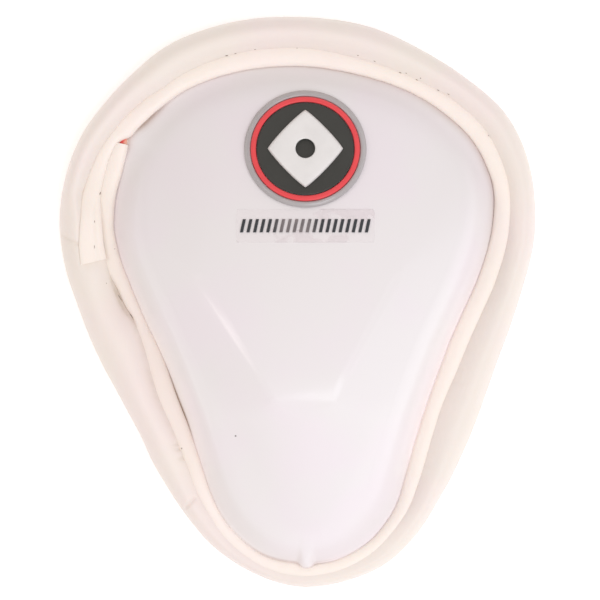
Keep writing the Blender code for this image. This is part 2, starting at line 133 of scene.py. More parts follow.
# Brown painted along the foot: partly glue in the joint, partly painted shade beside the strip. The thin
# line all round is painted contact shade, and the runs round the upper right and by the notch near the
# strip's start are painted shadow.
GLUE_AND_SHADE_COLUMNS = ("place", "half", "share", "reach")
GLUE_AND_SHADE_RUNS = (
    (0.0770, 0.0120, 0.80, 0.00030),
    (0.1350, 0.0120, 0.25, 0.00050),
    (0.2950, 0.0420, 0.15, 0.00160),
    (0.2830, 0.0230, 0.16, 0.00150),
    (0.3500, 0.0300, 0.20, 0.00060),
    (0.3930, 0.0085, 0.42, 0.00140),
)
GLUE_AND_SHADE_ALL_ROUND = 0.14
GLUE_AND_SHADE_REACH = 0.00040
STEEP_FROM = 0.005
STEEP_SPAN = 0.018
# Painted light: the steep wall and its foot glow by emission, so that they are as pale as the face.
LEAST_GLOW = 0.35
GLOW_AT_FOOT = (0.50, 0.00045)
GLOW_UP_WALL = (0.13, 0.0032)
# Places along the edge where the foot stands further out, or in: place, half length, shift.
FOOT_SHIFTS = (
    (0.3973, 0.0032, 0.00210),
    (0.0030, 0.0040, 0.00055),
    (0.0110, 0.0050, 0.00045),
    (0.0180, 0.0050, 0.00065),
    (0.0245, 0.0040, 0.00050),
    (0.0520, 0.0060, 0.00030),
)
# The same where the strip goes with the foot.
EDGE_SHIFTS = (
    (0.0760, 0.0080, 0.00028),
    (0.1100, 0.0070, 0.00035),
    (0.1270, 0.0060, 0.00025),
    (0.1600, 0.0080, 0.00040),
    (0.1800, 0.0080, 0.00020),
    (0.2350, 0.0100, -0.00015),
    (0.3000, 0.0240, 0.00062),
    (0.3400, 0.0120, 0.00018),
    (0.3700, 0.0120, 0.00012),
)
CUP_STEP = 0.0010
CUP_FINE_STEP = 0.0003
CUP_FINE_RUNS = ((0.1380, 0.1465),)
WALL_RING_SHARES = (0.0, 0.0334, 0.037, 0.045, 0.06, 0.09, 0.13, 0.19, 0.27, 0.37, 0.50, 0.64, 0.80, 1.0)
CUP_RING_SPANS = ((1.0, 0.76, 7), (0.76, 0.38, 60), (0.38, 0.02, 13))


def closed_spline(rows, steps=40):
    """Runs a smooth closed curve that passes each row, in every column at once."""
    points = np.array(rows, float)
    count = len(points)
    knots = [np.linalg.norm(points[(i + 1) % count, :2] - points[i, :2]) ** 0.5 for i in range(count)]
    samples = []
    for i in range(count):
        before, start, end, after = (points[(i + k) % count] for k in (-1, 0, 1, 2))
        k0, k1, k2 = knots[i - 1], knots[i], knots[(i + 1) % count]
        slope_in = (start - before) / k0 - (end - before) / (k0 + k1) + (end - start) / k1
        slope_out = (end - start) / k1 - (after - start) / (k1 + k2) + (after - end) / k2
        for t in np.arange(steps) / steps:
            samples.append((2 * t**3 - 3 * t**2 + 1) * start
                           + (t**3 - 2 * t**2 + t) * slope_in * k1
                           + (3 * t**2 - 2 * t**3) * end
                           + (t**3 - t**2) * slope_out * k1)
    return np.array(samples)


def make_edge():
    """The line of the cup's edge, centred as the model is, with the widths of the rim."""
    columns = dict(zip(RIM_COLUMNS, closed_spline(RIM_SHARES).T))
    across = columns["across"] * SHELL_WIDTH / 2
    points = np.stack([across, columns["along"] * SHELL_LENGTH / 2], axis=1)
    steps = np.linalg.norm(np.roll(points, -1, axis=0) - points, axis=1)
    along = np.roll(points, -1, axis=0) - np.roll(points, 1, axis=0)
    for _ in range(EDGE_SMOOTHINGS):
        along = (along + np.roll(along, 1, axis=0) + np.roll(along, -1, axis=0)) / 3
    outward = np.stack([along[:, 1], -along[:, 0]], axis=1)
    outward /= np.linalg.norm(outward, axis=1)[:, None]
    strip = columns["strip"] * STRIP_WIDTH
    pad = columns["pad"] * PAD_WIDTH
    outer = points + outward * (strip + pad)[:, None]
    middle = (outer.min(axis=0) + outer.max(axis=0)) / 2
    points = points - middle
    place = np.concatenate([[0], np.cumsum(steps)])
    line = {"x": points[:, 0], "y": points[:, 1], "out_x": outward[:, 0], "out_y": outward[:, 1],
            "strip": strip, "pad": pad, "height": columns["height"] * PAD_HEIGHT}
    return line, place[:-1], place[-1], middle


edge_line, edge_place, edge_length, cup_middle = make_edge()
tip_place = edge_place[np.argmin(edge_line["y"])]


def edge_at(places):
    """Reads the edge's values at places along it."""
    return {key: np.interp(places, edge_place, values, period=edge_length)
            for key, values in edge_line.items()}


def ease(value):
    """A smooth step from 0 to 1."""
    value = np.clip(value, 0.0, 1.0)
    return value * value * (3 - 2 * value)


def hump(places, centre, half, power=2):
    """A smooth hump of height 1 round a place on the edge, with steeper sides at a higher power."""
    apart = (np.asarray(places, float) - centre + edge_length / 2) % edge_length - edge_length / 2
    return np.exp(-np.abs(apart / half) ** power)


def stations(step, fine_step, fine_runs):
    """Places all round the edge, closer together in the fine runs."""
    places = [0.0]
    while places[-1] < edge_length:
        fine = any(low < places[-1] < high for low, high in fine_runs)
        places.append(places[-1] + (fine_step if fine else step))
    return np.array(places[:-1]) * edge_length / places[-1]


def soft_least(first, second, softness):
    """The lesser of two heights, rounded where they meet."""
    least = np.minimum(first, second)
    return least - softness * np.log1p(np.exp(-np.abs(first - second) / softness))


def soft_ramp(value, softness):
    """Zero below, the value above, rounded between."""
    return 0.5 * (value + np.sqrt(value * value + softness * softness))


def fall(shares, way):
    """How far a face falls over its way, from its two shares of the rise."""
    return CUP_RISE * (shares[0] * way + shares[1] * way * np.abs(way))


def side_fall(x):
    """How far the upper face falls to the sides."""
    return CUP_RISE * SIDE_FALL_SHARE * (x / (SHELL_WIDTH / 2)) ** 2


def ridge_across(y, ridge):
    """How far across a ridge runs at each height of the face, and its slope factor."""
    corner = ridge["corner_across"] * SHELL_WIDTH / 2
    upper = ridge["upper_across"] * SHELL_WIDTH / 2
    nub = ridge["nub_across"] * SHELL_WIDTH / 2
    corner_y = ridge["corner_along"] * SHELL_LENGTH / 2
    upper_y = ridge["upper_along"] * SHELL_LENGTH / 2
    opening = (upper - corner) / (upper_y - corner_y)
    closing = (nub - corner) / (corner_y + SHELL_LENGTH / 2)
    over = y - corner_y
    across = corner + opening * soft_ramp(over, CORNER_SOFTNESS)
    across = across + closing * soft_ramp(-over, CORNER_SOFTNESS)
    return across, 1 / math.hypot(1, opening)


def cup_height(world_x, world_y):
    """Height of the cup's outer face, with crisp ridges near the corners and soft ones away."""
    x = world_x + cup_middle[0]
    y = world_y + cup_middle[1]
    half_width = SHELL_WIDTH / 2
    half_length = SHELL_LENGTH / 2
    top = FLANGE_TOP + CUP_RISE
    ridges = [dict(zip(RIDGE_COLUMNS, row)) for row in RIDGE_SHARES]
    corner = sum(ridge["corner_along"] for ridge in ridges) / len(ridges) * half_length
    up = np.maximum((y - corner) / (half_length - corner), LEAST_WAY)
    down = np.maximum((corner - y) / (corner + half_length), LEAST_WAY)
    waist = top - fall(WAIST_FALL_SHARES, up)
    nose = top - fall(NOSE_FALL_SHARES, down)
    away = np.abs(y - corner)
    ridge_softness = RIDGE_CRISP + (RIDGE_SOFT - RIDGE_CRISP) * ease((away - RIDGE_LENGTH) / RIDGE_FADE)
    keel_softness = RIDGE_CRISP + (KEEL_SOFT - RIDGE_CRISP) * ease(away / KEEL_FADE)
    softness = np.where(y > corner, ridge_softness, keel_softness)
    face = soft_least(waist - side_fall(x), nose, FRONT_SOFT)
    for ridge in ridges:
        line, lean = ridge_across(y, ridge)
        out = ridge["side"] * (x - line) * lean / half_width
        at_ridge = soft_least(waist - side_fall(line), nose, FRONT_SOFT)
        flank = at_ridge - fall(FLANK_FALL_SHARES, out)
        narrow_flat = (face + flank) / 2 - RIDGE_CUT + CUT_FADE * (softness - RIDGE_CRISP)
        face = soft_least(soft_least(face, flank, softness), narrow_flat, RIDGE_CRISP)
    lowest = FLANGE_TOP + LEAST_STEP
    return lowest + soft_ramp(face - lowest, LEAST_STEP)


def wall_height(height, inside):
    """Brings the cup's face down with a rounded shoulder to an upright foot, which the rim hides."""
    share = np.clip((inside - COVERED) / (EDGE_ROUND - COVERED), 0, 1)
    return FOOT_TOP + (height - FOOT_TOP) * (1 - (1 - share) ** 2) ** SHOULDER_POWER


def ring_faces(ring_count, count, closed):
    """Four-sided faces between neighbouring rings of points, and from the last to the first if closed."""
    faces = []
    for r in range(ring_count if closed else ring_count - 1):
        low, high = r * count, (r + 1) % ring_count * count
        for i in range(count):
            j = (i + 1) % count
            faces.append((low + i, low + j, high + j, high + i))
    return faces


def mesh_of(name, corners, faces):
    """A smooth-shaded object at the origin from a list of corners and faces."""
    mesh = bpy.data.meshes.new(name)
    mesh.from_pydata([tuple(c) for c in corners], [], faces)
    mesh.shade_smooth()
    made = bpy.data.objects.new(name, mesh)
    bpy.context.scene.collection.objects.link(made)
    return made


def linear(hex_colour):
    """Turns an sRGB hex colour to linear red, green and blue."""
    parts = [int(hex_colour[i:i + 2], 16) / 255 for i in (0, 2, 4)]
    return tuple(p / 12.92 if p <= 0.04045 else ((p + 0.055) / 1.055) ** 2.4 for p in parts)


def add_node(tree, kind, inputs=(), **settings):
    """Adds a node with its settings, and fills or links its inputs by name or number."""
    made = tree.nodes.new(kind)
    for key, value in settings.items():
        setattr(made, key, value)
    for key, value in dict(inputs).items():
        if isinstance(value, bpy.types.NodeSocket):
            tree.links.new(value, made.inputs[key])
        else:
            made.inputs[key].default_value = value
    return made


def start_material(name, colour, roughness):
    """A material with its colour and roughness set, and its tree, shader and object position."""
    material = bpy.data.materials.new(name)
    material.use_nodes = True
    tree = material.node_tree
    shader = tree.nodes["Principled BSDF"]
    shader.inputs["Base Color"].default_value = (*linear(colour), 1)
    shader.inputs["Roughness"].default_value = roughness
    material.diffuse_color = (*linear(colour), 1)
    where = add_node(tree, "ShaderNodeTexCoord").outputs["Object"]
    return material, tree, shader, where


def glue_and_painted_shade(places, inside):
    """How much brown is painted at places along the foot, fading up the wall: glue, and painted shade beside
    the strip.
    """
    stain_and_shade = np.full(len(places), GLUE_AND_SHADE_ALL_ROUND * math.exp(-((inside / GLUE_AND_SHADE_REACH) ** 2)))
    for row in GLUE_AND_SHADE_RUNS:
        run = dict(zip(GLUE_AND_SHADE_COLUMNS, row))
        fade = math.exp(-((inside / run["reach"]) ** 2))
        stain_and_shade = stain_and_shade + run["share"] * hump(places, run["place"], run["half"], STEEP_SIDES) * fade
    return np.minimum(stain_and_shade, 1.0)


def painted_glow_amount(steep, inside):
    """How strongly the wall is made to glow, a painted light where it is steep, most of it at the foot."""
    foot, foot_reach = GLOW_AT_FOOT
    wall, wall_reach = GLOW_UP_WALL
    at_foot = np.maximum(steep, LEAST_GLOW) * foot * math.exp(-inside / foot_reach)
    return at_foot + steep * wall * math.exp(-((inside / wall_reach) ** 2))


def make_cup():
    """The outer face as rings from the flange's end to the crown, then given its wall."""
    places = stations(CUP_STEP, CUP_FINE_STEP, CUP_FINE_RUNS)
    count = len(places)
    here = edge_at(places)
    edge = np.stack([here["x"], here["y"]], axis=1)
    outward = np.stack([here["out_x"], here["out_y"]], axis=1)
    foot = sum(shift * hump(places, place, half) for place, half, shift in FOOT_SHIFTS + EDGE_SHIFTS)
    nub = (NUB_REACH * hump(places, tip_place, NUB_HALF_WIDTH, STEEP_SIDES) + foot)[:, None]
    flange = here["strip"] + np.minimum(FLANGE_SHARE * here["pad"], FLANGE_REACH)
    rings = [(edge + outward * flange[:, None], FLANGE_TOP, 0.0),
             (edge + outward * (nub + GLUE_WIDTH * GLUE_BEAD), FLANGE_TOP, 0.0),
             (edge + outward * (nub + GLUE_WIDTH), FOOT_TOP - GLUE_DROP, 0.0)]
    for share in WALL_RING_SHARES:
        inside = EDGE_ROUND * share
        rings.append((edge + outward * (nub * (1 - share) - inside), None, inside))
    innermost = rings[-1][0]
    crown = -cup_middle
    for start, end, steps in CUP_RING_SPANS:
        for share in np.linspace(start, end, steps + 1)[1:]:
            rings.append((crown + (innermost - crown) * share, None, EDGE_ROUND))
    tip = edge_at(np.array([tip_place]))
    shoulder = edge - outward * EDGE_ROUND
    wall = cup_height(shoulder[:, 0], shoulder[:, 1]) - FOOT_TOP
    steep = np.clip((wall - STEEP_FROM) / STEEP_SPAN, 0, 1)
    corners = []
    glue = []
    through = []
    for points, level, inside in rings:
        x, y = points[:, 0], points[:, 1]
        if level is not None:
            height = np.full(count, level)
        else:
            apart = np.hypot((x - tip["x"]) / NUB_ACROSS, (y - tip["y"] - NUB_SET_IN) / NUB_ALONG)
            apart = apart / NUB_HALF_WIDTH
            height = wall_height(cup_height(x, y), inside) + NUB_RISE * np.exp(-apart ** 2)
        corners += list(zip(x, y, height))
        # Brown painted at the foot: glue, and painted shade beside the strip.
        stain_and_shade = glue_and_painted_shade(places, inside)
        glue += list(stain_and_shade)
        # Painted glow of the steep wall and the foot, less where brown is painted.
        through += list((1 - stain_and_shade) * painted_glow_amount(steep, inside))
    corners.append((crown[0], crown[1], float(cup_height(*crown))))
    glue.append(0.0)
    through.append(0.0)
    faces = ring_faces(len(rings), count, False)
    last = (len(rings) - 1) * count
    for i in range(count):
        faces.append((last + i, last + (i + 1) % count, len(corners) - 1))
    cup = mesh_of("plastic_cup", corners, faces)
    for name, values in (("glue", glue), ("through", through)):
        cup.data.attributes.new(name, "FLOAT", "POINT").data.foreach_set("value", values)
    thick = cup.modifiers.new("Wall", "SOLIDIFY")
    thick.thickness = SHELL_WALL
    thick.offset = -1
    thick.use_even_offset = True
    return cup


# Milky polypropylene, injection moulded: even and pale, with a dull gloss, faint cloudy patches and a
# moulded-in dark fleck. The steep sides and the foot are given a painted glow so that they are as pale as
# the face. Brown is painted at the foot: glue where the strip stands off it, and painted shade beside the
# strip.
CUP_COLOUR = "e8e4e4"
CUP_CLOUD = "e9e2e5"
GLUE_AND_SHADE_BROWN = "946a3a"
CUP_FLECK = "4a4340"
FLECK_PLACE = (-0.0176, -0.0381)
FLECK_RADIUS = 0.00032
FLECK_CORE = 0.6
FLECK_DARKNESS = 0.75
CLOUD_SIZE = 0.028
CLOUD_FROM = 0.42
CLOUD_TO = 0.62
CUP_ROUGHNESS = 0.20
CUP_GLOSS = 0.32


def polypropylene():
    """The cup's material."""
    material, tree, shader, where = start_material("milky_polypropylene", CUP_COLOUR, CUP_ROUGHNESS)
    cloud = add_node(tree, "ShaderNodeTexNoise", {"Vector": where, "Scale": 1 / CLOUD_SIZE, "Detail": 2.0})
    patch = add_node(tree, "ShaderNodeMapRange", {"Value": cloud.outputs["Fac"], 1: CLOUD_FROM,
                                                  2: CLOUD_TO})
    tint = add_node(tree, "ShaderNodeMix", {0: patch.outputs[0], 6: (*linear(CUP_COLOUR), 1),
                                            7: (*linear(CUP_CLOUD), 1)}, data_type="RGBA")
    flat = add_node(tree, "ShaderNodeVectorMath", {0: where, 1: (1, 1, 0)}, operation="MULTIPLY")
    fleck_at = (FLECK_PLACE[0], FLECK_PLACE[1], 0)
    apart = add_node(tree, "ShaderNodeVectorMath", {0: flat.outputs[0], 1: fleck_at}, operation="DISTANCE")
    fleck = add_node(tree, "ShaderNodeMapRange", {"Value": apart.outputs["Value"],
                                                  1: FLECK_RADIUS * FLECK_CORE, 2: FLECK_RADIUS,
                                                  3: FLECK_DARKNESS, 4: 0.0})
    colour = add_node(tree, "ShaderNodeMix", {0: fleck.outputs[0], 6: tint.outputs[2],
                                              7: (*linear(CUP_FLECK), 1)}, data_type="RGBA")
    # Painted brown at the foot, for glue and for painted shade beside the strip.
    glue = add_node(tree, "ShaderNodeAttribute", attribute_name="glue")
    stained_and_shaded = add_node(tree, "ShaderNodeMix", {0: glue.outputs["Fac"], 6: colour.outputs[2],
                                               7: (*linear(GLUE_AND_SHADE_BROWN), 1)}, data_type="RGBA")
    tree.links.new(stained_and_shaded.outputs[2], shader.inputs["Base Color"])
    tree.links.new(stained_and_shaded.outputs[2], shader.inputs["Emission Color"])
    # Painted light: this share drives the emission, so the steep wall and the foot glow.
    through = add_node(tree, "ShaderNodeAttribute", attribute_name="through")
    tree.links.new(through.outputs["Fac"], shader.inputs["Emission Strength"])
    shader.inputs["Specular IOR Level"].default_value = CUP_GLOSS
    return material


cup = make_cup()
cup.data.materials.append(polypropylene())
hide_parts("cup_shell")
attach(cup, "root")

# The rim pad
# A roll of soft foam, 6 to 17 mm across beyond the cup's edge, covered in cream leathercloth
# and flat where it meets the body. It runs once round the cup, and its ends butt on the left.
# The cup's flange goes into its slot. It is swelled as cloth, from a slightly slack shape.
CLEARANCE = 0.0003
STRIP_HEIGHT = 0.0042
PRESSED = 0.00015
PAD_COVERS = 0.00060
START_COLUMNS = ("place", "inner", "outer")
STRIP_START = (
    (-0.0008, 0.0010, 0.0041),
    (0.0020, 0.0004, 0.0044),
    (0.0074, 0.0000, 0.0046),
    (0.0121, 0.0003, 0.0048),
    (0.0147, 0.0005, 0.0050),
    (0.0177, 0.0005, 0.0046),
    (0.0206, 0.0005, 0.0043),
    (0.0236, 0.0005, 0.0040),
    (0.0269, 0.0001, 0.0039),
    (0.0304, -0.0002, 0.0038),
    (0.0341, -0.0004, 0.0039),
    (0.0378, -0.0004, 0.0038),
    (0.0417, -0.0003, 0.0036),
    (0.0463, -0.0002, 0.0035),
    (0.0505, 0.0000, 0.0029),
    (0.0544, 0.0000, 0.0031),
)
LAP_COLUMNS = ("place", "inner", "outer", "lift", "tall", "tilt")
STRIP_LAP = (
    (-0.0235, -0.0001, 0.0043, 0.0001, 0.0042, 0.00),
    (-0.0190, -0.0001, 0.0039, 0.0003, 0.0042, 0.00),
    (-0.0157, -0.0001, 0.0042, 0.0005, 0.0042, 0.00),
    (-0.0127, 0.0000, 0.0045, 0.0008, 0.0042, 0.00),
    (-0.0091, 0.0002, 0.0049, 0.0008, 0.0042, 0.00),
    (-0.0056, 0.0008, 0.0057, 0.0006, 0.0042, 0.00),
    (-0.0030, 0.0014, 0.0063, 0.0003, 0.0042, 0.00),
    (-0.0005, 0.0034, 0.0071, 0.0001, 0.0042, 0.00),
    (0.0039, 0.0043, 0.0081, 0.0001, 0.0042, 0.00),
    (0.0074, 0.0044, 0.0087, 0.0003, 0.0041, 0.02),
    (0.0110, 0.0046, 0.0091, 0.0010, 0.0038, 0.05),
    (0.0147, 0.0048, 0.0095, 0.0020, 0.0033, 0.08),
    (0.0177, 0.0044, 0.0098, 0.0029, 0.0028, 0.12),
    (0.0206, 0.0040, 0.0100, 0.0037, 0.0024, 0.15),
    (0.0236, 0.0037, 0.0103, 0.0042, 0.0021, 0.17),
    (0.0269, 0.0036, 0.0107, 0.0045, 0.0019, 0.18),
    (0.0296, 0.0035, 0.0109, 0.0046, 0.0018, 0.18),
    (0.0318, 0.0035, 0.0111, 0.0046, 0.0018, 0.18),
)
# Places where the strip stands off the cup: place, half length, width of the gap.
CUP_GAPS = (
    (0.0790, 0.0100, 0.00030),
    (0.1330, 0.0085, 0.00035),
    (0.1490, 0.0050, 0.00055),
    (0.2060, 0.0300, 0.00036),
)
NUB_GAP_SHARE = 0.6
NUB_GAP_SPREAD = 1.25
STRIP_LIFT_SHARE = 0.4
LOW_RIM_SPARE = 0.05
MERGED_RUN = (0.1080, 0.1740)
MERGE_BLEND = 0.012
MERGED_TUCK = 0.0007
MERGED_RISE = 0.0003
LANE_BLEND = 0.004
START_BLEND = 0.001
TAIL_CLIMBS = (0.014, 0.022)
PAD_LIP = 0.0015
PAD_BACK_ROUND = 0.0012
LEAST_HOLD = 0.0008
# The pad's section from its flat back round to the crest: share of its width in from the
# outer side, and share of its height.
ROUND_SIDE = ((0.22, 0.0), (0.07, 0.08), (0.0, 0.33), (0.045, 0.60), (0.15, 0.815), (0.30, 0.953),
              (0.46, 1.0))
# From the crest down to the seam: share of its width out from the lip, and share of the rise.
SEAM_SIDE = ((0.36, 0.90), (0.20, 0.62), (0.06, 0.22))
SECTION_STEPS = 3
SLOT_POINTS = 10
BACK_HEIGHT = 0.0006
SEAM_HOLD = 1.2
SWELL_STEPS = 20
SWELL_PRESSURE = 4.0
SWELL_CAP = 0.0008
SEAM_DEPTH = 0.0042
OPEN_SEAM_LIP_DROP = 0.2
OPEN_SEAM_FLOOR_DROP = 0.5
OPEN_SEAM_DUST_AND_SHADE = 0.5
PAD_STEP = 0.0013
PAD_FINE_STEP = 0.00032
PAD_FINE_RUNS = ((0.0220, 0.0300), (0.0880, 0.0945), (0.1035, 0.1075))
OPEN_SEAM_PLACE = 0.0443
OPEN_SEAM_HALF = 0.0078
OPEN_SEAM_WIDTH = 0.0013
SEAM_FADE = 0.0005
BROAD_SEAM_FADE = 0.0014
BROAD_SEAM_RUN = (0.072, 0.022)
DUST_AND_SHADE_RUN = (0.066, 0.034)
DUST_AND_SHADE_ON_RUN = 0.55
DUST_AND_SHADE_ELSEWHERE = 0.2
BED_SOFT = 0.00035
BED_SHARE = 0.45
BED_MARGIN = 0.0004
BED_SIDE_SLOPE = 1.1
BED_END_SLOPE = 0.9
BED_START_SLOPE = 2.0
BED_START = 0.014
BED_END = 0.040
UPPER_FROM = 0.005
UPPER_SPAN = 0.003
CREASE_COLUMNS = ("place_in", "reach_in", "place_out", "reach_out", "half", "depth", "step")
CREASES = (
    (0.0276, 0.0100, 0.0254, 0.0146, 0.00038, 0.00045, 0.00035),
    (0.1049, 0.0048, 0.1062, 0.0078, 0.00045, 0.00045, 0.00010),
)
PAINTED_CREASE_SHADE_DEPTH = 0.0016
CREASE_ENDS = 0.25
CREASE_RUN_OUT = 1.4
CREASE_LINE_ENDS = (-0.5, 1.3)
CREASE_STEP_WIDTH = 0.0005
CREASE_STEP_FADE = 0.003
PUCKER_COLUMNS = ("place", "reach", "along", "across", "depth")
PUCKERS = (
    (0.0890, 0.0046, 0.0005, 0.0010, 0.0005),
    (0.0906, 0.0042, 0.0005, 0.0012, 0.0007),
    (0.0932, 0.0041, 0.0006, 0.0012, 0.0006),
)


def curve_through(points, steps):
    """A smooth open curve that passes a few points, that many steps to each span."""
    points = np.array(points, float)
    padded = np.vstack([2 * points[0] - points[1], points, 2 * points[-1] - points[-2]])
    samples = []
    for i in range(1, len(padded) - 2):
        p0, p1, p2, p3 = padded[i - 1:i + 3]
        for t in np.arange(steps) / steps:
            samples.append(0.5 * (2 * p1 + (p2 - p0) * t + (2 * p0 - 5 * p1 + 4 * p2 - p3) * t**2
                                  + (3 * p1 - p0 - 3 * p2 + p3) * t**3))
    samples.append(points[-1])
    return samples


def read_lane(columns, rows, places):
    """Reads a lane's table at places along the edge, smoothly."""
    table = np.array(curve_through(rows, 8))
    return {name: np.interp(places, table[:, 0], table[:, i])
            for i, name in enumerate(columns)}


def from_start(places):
    """Places counted from the strip's cut start, with the last half of the edge negative."""
    places = np.asarray(places, float) % edge_length
    return np.where(places > edge_length / 2, places - edge_length, places)


def strip_lane(run):
    """The strip's inner and outer reach, lift, height and tilt at runs along its own length."""
    here = edge_at(run)
    gap = sum(width * hump(run, place, half) for place, half, width in CUP_GAPS + EDGE_SHIFTS)
    gap = gap + NUB_GAP_SHARE * NUB_REACH * hump(run, tip_place, NUB_HALF_WIDTH * NUB_GAP_SPREAD)
    lane = {
        "inner": -2 * PRESSED + gap,
        "outer": here["strip"],
        "lift": np.full(len(run), CLEARANCE * STRIP_LIFT_SHARE),
        "tall": STRIP_HEIGHT * np.minimum(1.0, here["height"] / PAD_HEIGHT + LOW_RIM_SPARE),
        "tilt": np.zeros(len(run)),
    }
    first = STRIP_START[-1][0]
    start = read_lane(START_COLUMNS, STRIP_START, run)
    share = 1 - ease((run - first) / LANE_BLEND)
    for name in ("inner", "outer"):
        lane[name] = lane[name] * (1 - share) + start[name] * share
    beyond = run - edge_length
    lap = read_lane(LAP_COLUMNS, STRIP_LAP, beyond)
    share = ease((beyond - STRIP_LAP[0][0] + LANE_BLEND) / LANE_BLEND)
    for name in lane:
        lane[name] = lane[name] * (1 - share) + lap[name] * share
    free = ease((beyond - TAIL_CLIMBS[0]) / (TAIL_CLIMBS[1] - TAIL_CLIMBS[0]))
    open_seam = hump(run, OPEN_SEAM_PLACE, OPEN_SEAM_HALF, STEEP_SIDES)
    free = np.maximum(free, open_seam * (run < edge_length / 2))
    lane["outer"] = lane["outer"] + PAD_COVERS * (1 - free)
    return lane


def groove_at(places):
    """Where the pad's seam side stands beside the strip or its lap, and how open it is."""
    here = edge_at(places)
    turn = from_start(places)
    groove = here["strip"] - PRESSED
    start = read_lane(START_COLUMNS, STRIP_START, turn)
    share = ease((turn + START_BLEND) / START_BLEND) * (1 - ease((turn - STRIP_START[-1][0]) / LANE_BLEND))
    groove = groove * (1 - share) + (start["outer"] - PRESSED) * share
    lap = read_lane(LAP_COLUMNS, STRIP_LAP, turn)
    share = ease((turn - STRIP_LAP[0][0] + LANE_BLEND) / LANE_BLEND)
    share = share * (1 - ease((turn - TAIL_CLIMBS[0]) / (TAIL_CLIMBS[1] - TAIL_CLIMBS[0])))
    groove = groove * (1 - share) + (lap["outer"] - PRESSED) * share
    opening = OPEN_SEAM_WIDTH * hump(places, OPEN_SEAM_PLACE, OPEN_SEAM_HALF, STEEP_SIDES)
    return groove, opening


def merging(places):
    """Where the seam between strip and pad closes, round the bottom, from 0 to 1."""
    low, high = MERGED_RUN
    return ease((places - low) / MERGE_BLEND + 0.5) * (1 - ease((places - high) / MERGE_BLEND + 0.5))


def pad_section(strip, pad, top, groove, opening, merged):
    """The pad's section as reach and height: back, round side, crest, seam and slot."""
    outer = strip + pad
    groove = groove - MERGED_TUCK * merged
    lip = groove + opening
    width = outer - lip
    seam = FLANGE_TOP + SEAM_DEPTH * min(1.0, top / PAD_HEIGHT) - MERGED_RISE + MERGED_RISE * merged
    hold = groove + max(FLANGE_SHARE * (outer - groove), LEAST_HOLD)
    knots = [(-PAD_LIP, 0.0003), (-PAD_LIP + PAD_BACK_ROUND, 0.0), (0.45 * outer, 0.0)]
    knots += [(outer - share * width, rise * top) for share, rise in ROUND_SIDE]
    knots += [(lip + share * width, seam + rise * (top - seam)) for share, rise in SEAM_SIDE]
    knots.append((lip - 0.00005, seam))
    round_side = curve_through(knots, SECTION_STEPS)
    ledge = FLANGE_TOP + CLEARANCE
    slot = FLANGE_TOP - SHELL_WALL - CLEARANCE
    rest = [
        (lip - 0.0001, seam - OPEN_SEAM_LIP_DROP * opening - 0.0001),
        (groove - 0.0001, seam - OPEN_SEAM_FLOOR_DROP * opening - 0.0002),
        (groove - 0.0001, (seam + ledge) / 2 - 0.0004),
        (groove, FLANGE_TOP + 0.5 * CLEARANCE),
        (hold + CLEARANCE, FLANGE_TOP + 0.5 * CLEARANCE),
        (hold + CLEARANCE, slot),
        ((hold - PAD_LIP) / 2, slot),
        (-PAD_LIP, slot),
        (-PAD_LIP, slot / 2),
    ]
    return round_side + rest


def make_pad_cage():
    """The pad as sewn, before it swells, with how close each point lies to the seam, as the share of dust
    and painted shade it takes.
    """
    places = stations(PAD_STEP, PAD_FINE_STEP, PAD_FINE_RUNS)
    count = len(places)
    here = edge_at(places)
    groove, opening = groove_at(places)
    merged = merging(places)
    corners = []
    dust_and_shade_by_point = []
    for k in range(count):
        section = pad_section(here["strip"][k], here["pad"][k], here["height"][k], groove[k], opening[k],
                              merged[k])
        open_share = opening[k] / OPEN_SEAM_WIDTH
        broad = SEAM_FADE + (BROAD_SEAM_FADE - SEAM_FADE) * float(hump(places[k], *BROAD_SEAM_RUN))
        on_run = float(hump(places[k], *DUST_AND_SHADE_RUN, STEEP_SIDES))
        dust_and_shade_here = DUST_AND_SHADE_ELSEWHERE + (DUST_AND_SHADE_ON_RUN - DUST_AND_SHADE_ELSEWHERE) * on_run
        for reach, height in section:
            on_floor = reach < groove[k] + 0.97 * opening[k]
            past_seam = max(0.0, reach - groove[k] - opening[k])
            # Dust and painted shade in the groove beside the strip, and more on the shaded floor of the open
            # seam.
            near = dust_and_shade_here * math.exp(-((past_seam / broad) ** 2)) * (1 - merged[k])
            near += OPEN_SEAM_DUST_AND_SHADE * open_share if on_floor else 0.0
            dust_and_shade_by_point.append(near if height > FLANGE_TOP else 0.0)
            corners.append((here["x"][k] + here["out_x"][k] * reach,
                            here["y"][k] + here["out_y"][k] * reach, height))
    sides = len(section)
    faces = []
    for k in range(count):
        m = (k + 1) % count
        for i in range(sides):
            j = (i + 1) % sides
            faces.append((k * sides + i, m * sides + i, m * sides + j, k * sides + j))
    pad = mesh_of("leathercloth_rim", corners, faces)
    share = pad.data.attributes.new("seam", "FLOAT", "POINT")
    share.data.foreach_set("value", dust_and_shade_by_point)
    return pad, places, sides


def read_points(mesh):
    """A mesh's points as an array."""
    points = np.empty(len(mesh.vertices) * 3)
    mesh.vertices.foreach_get("co", points)
    return points.reshape(-1, 3)


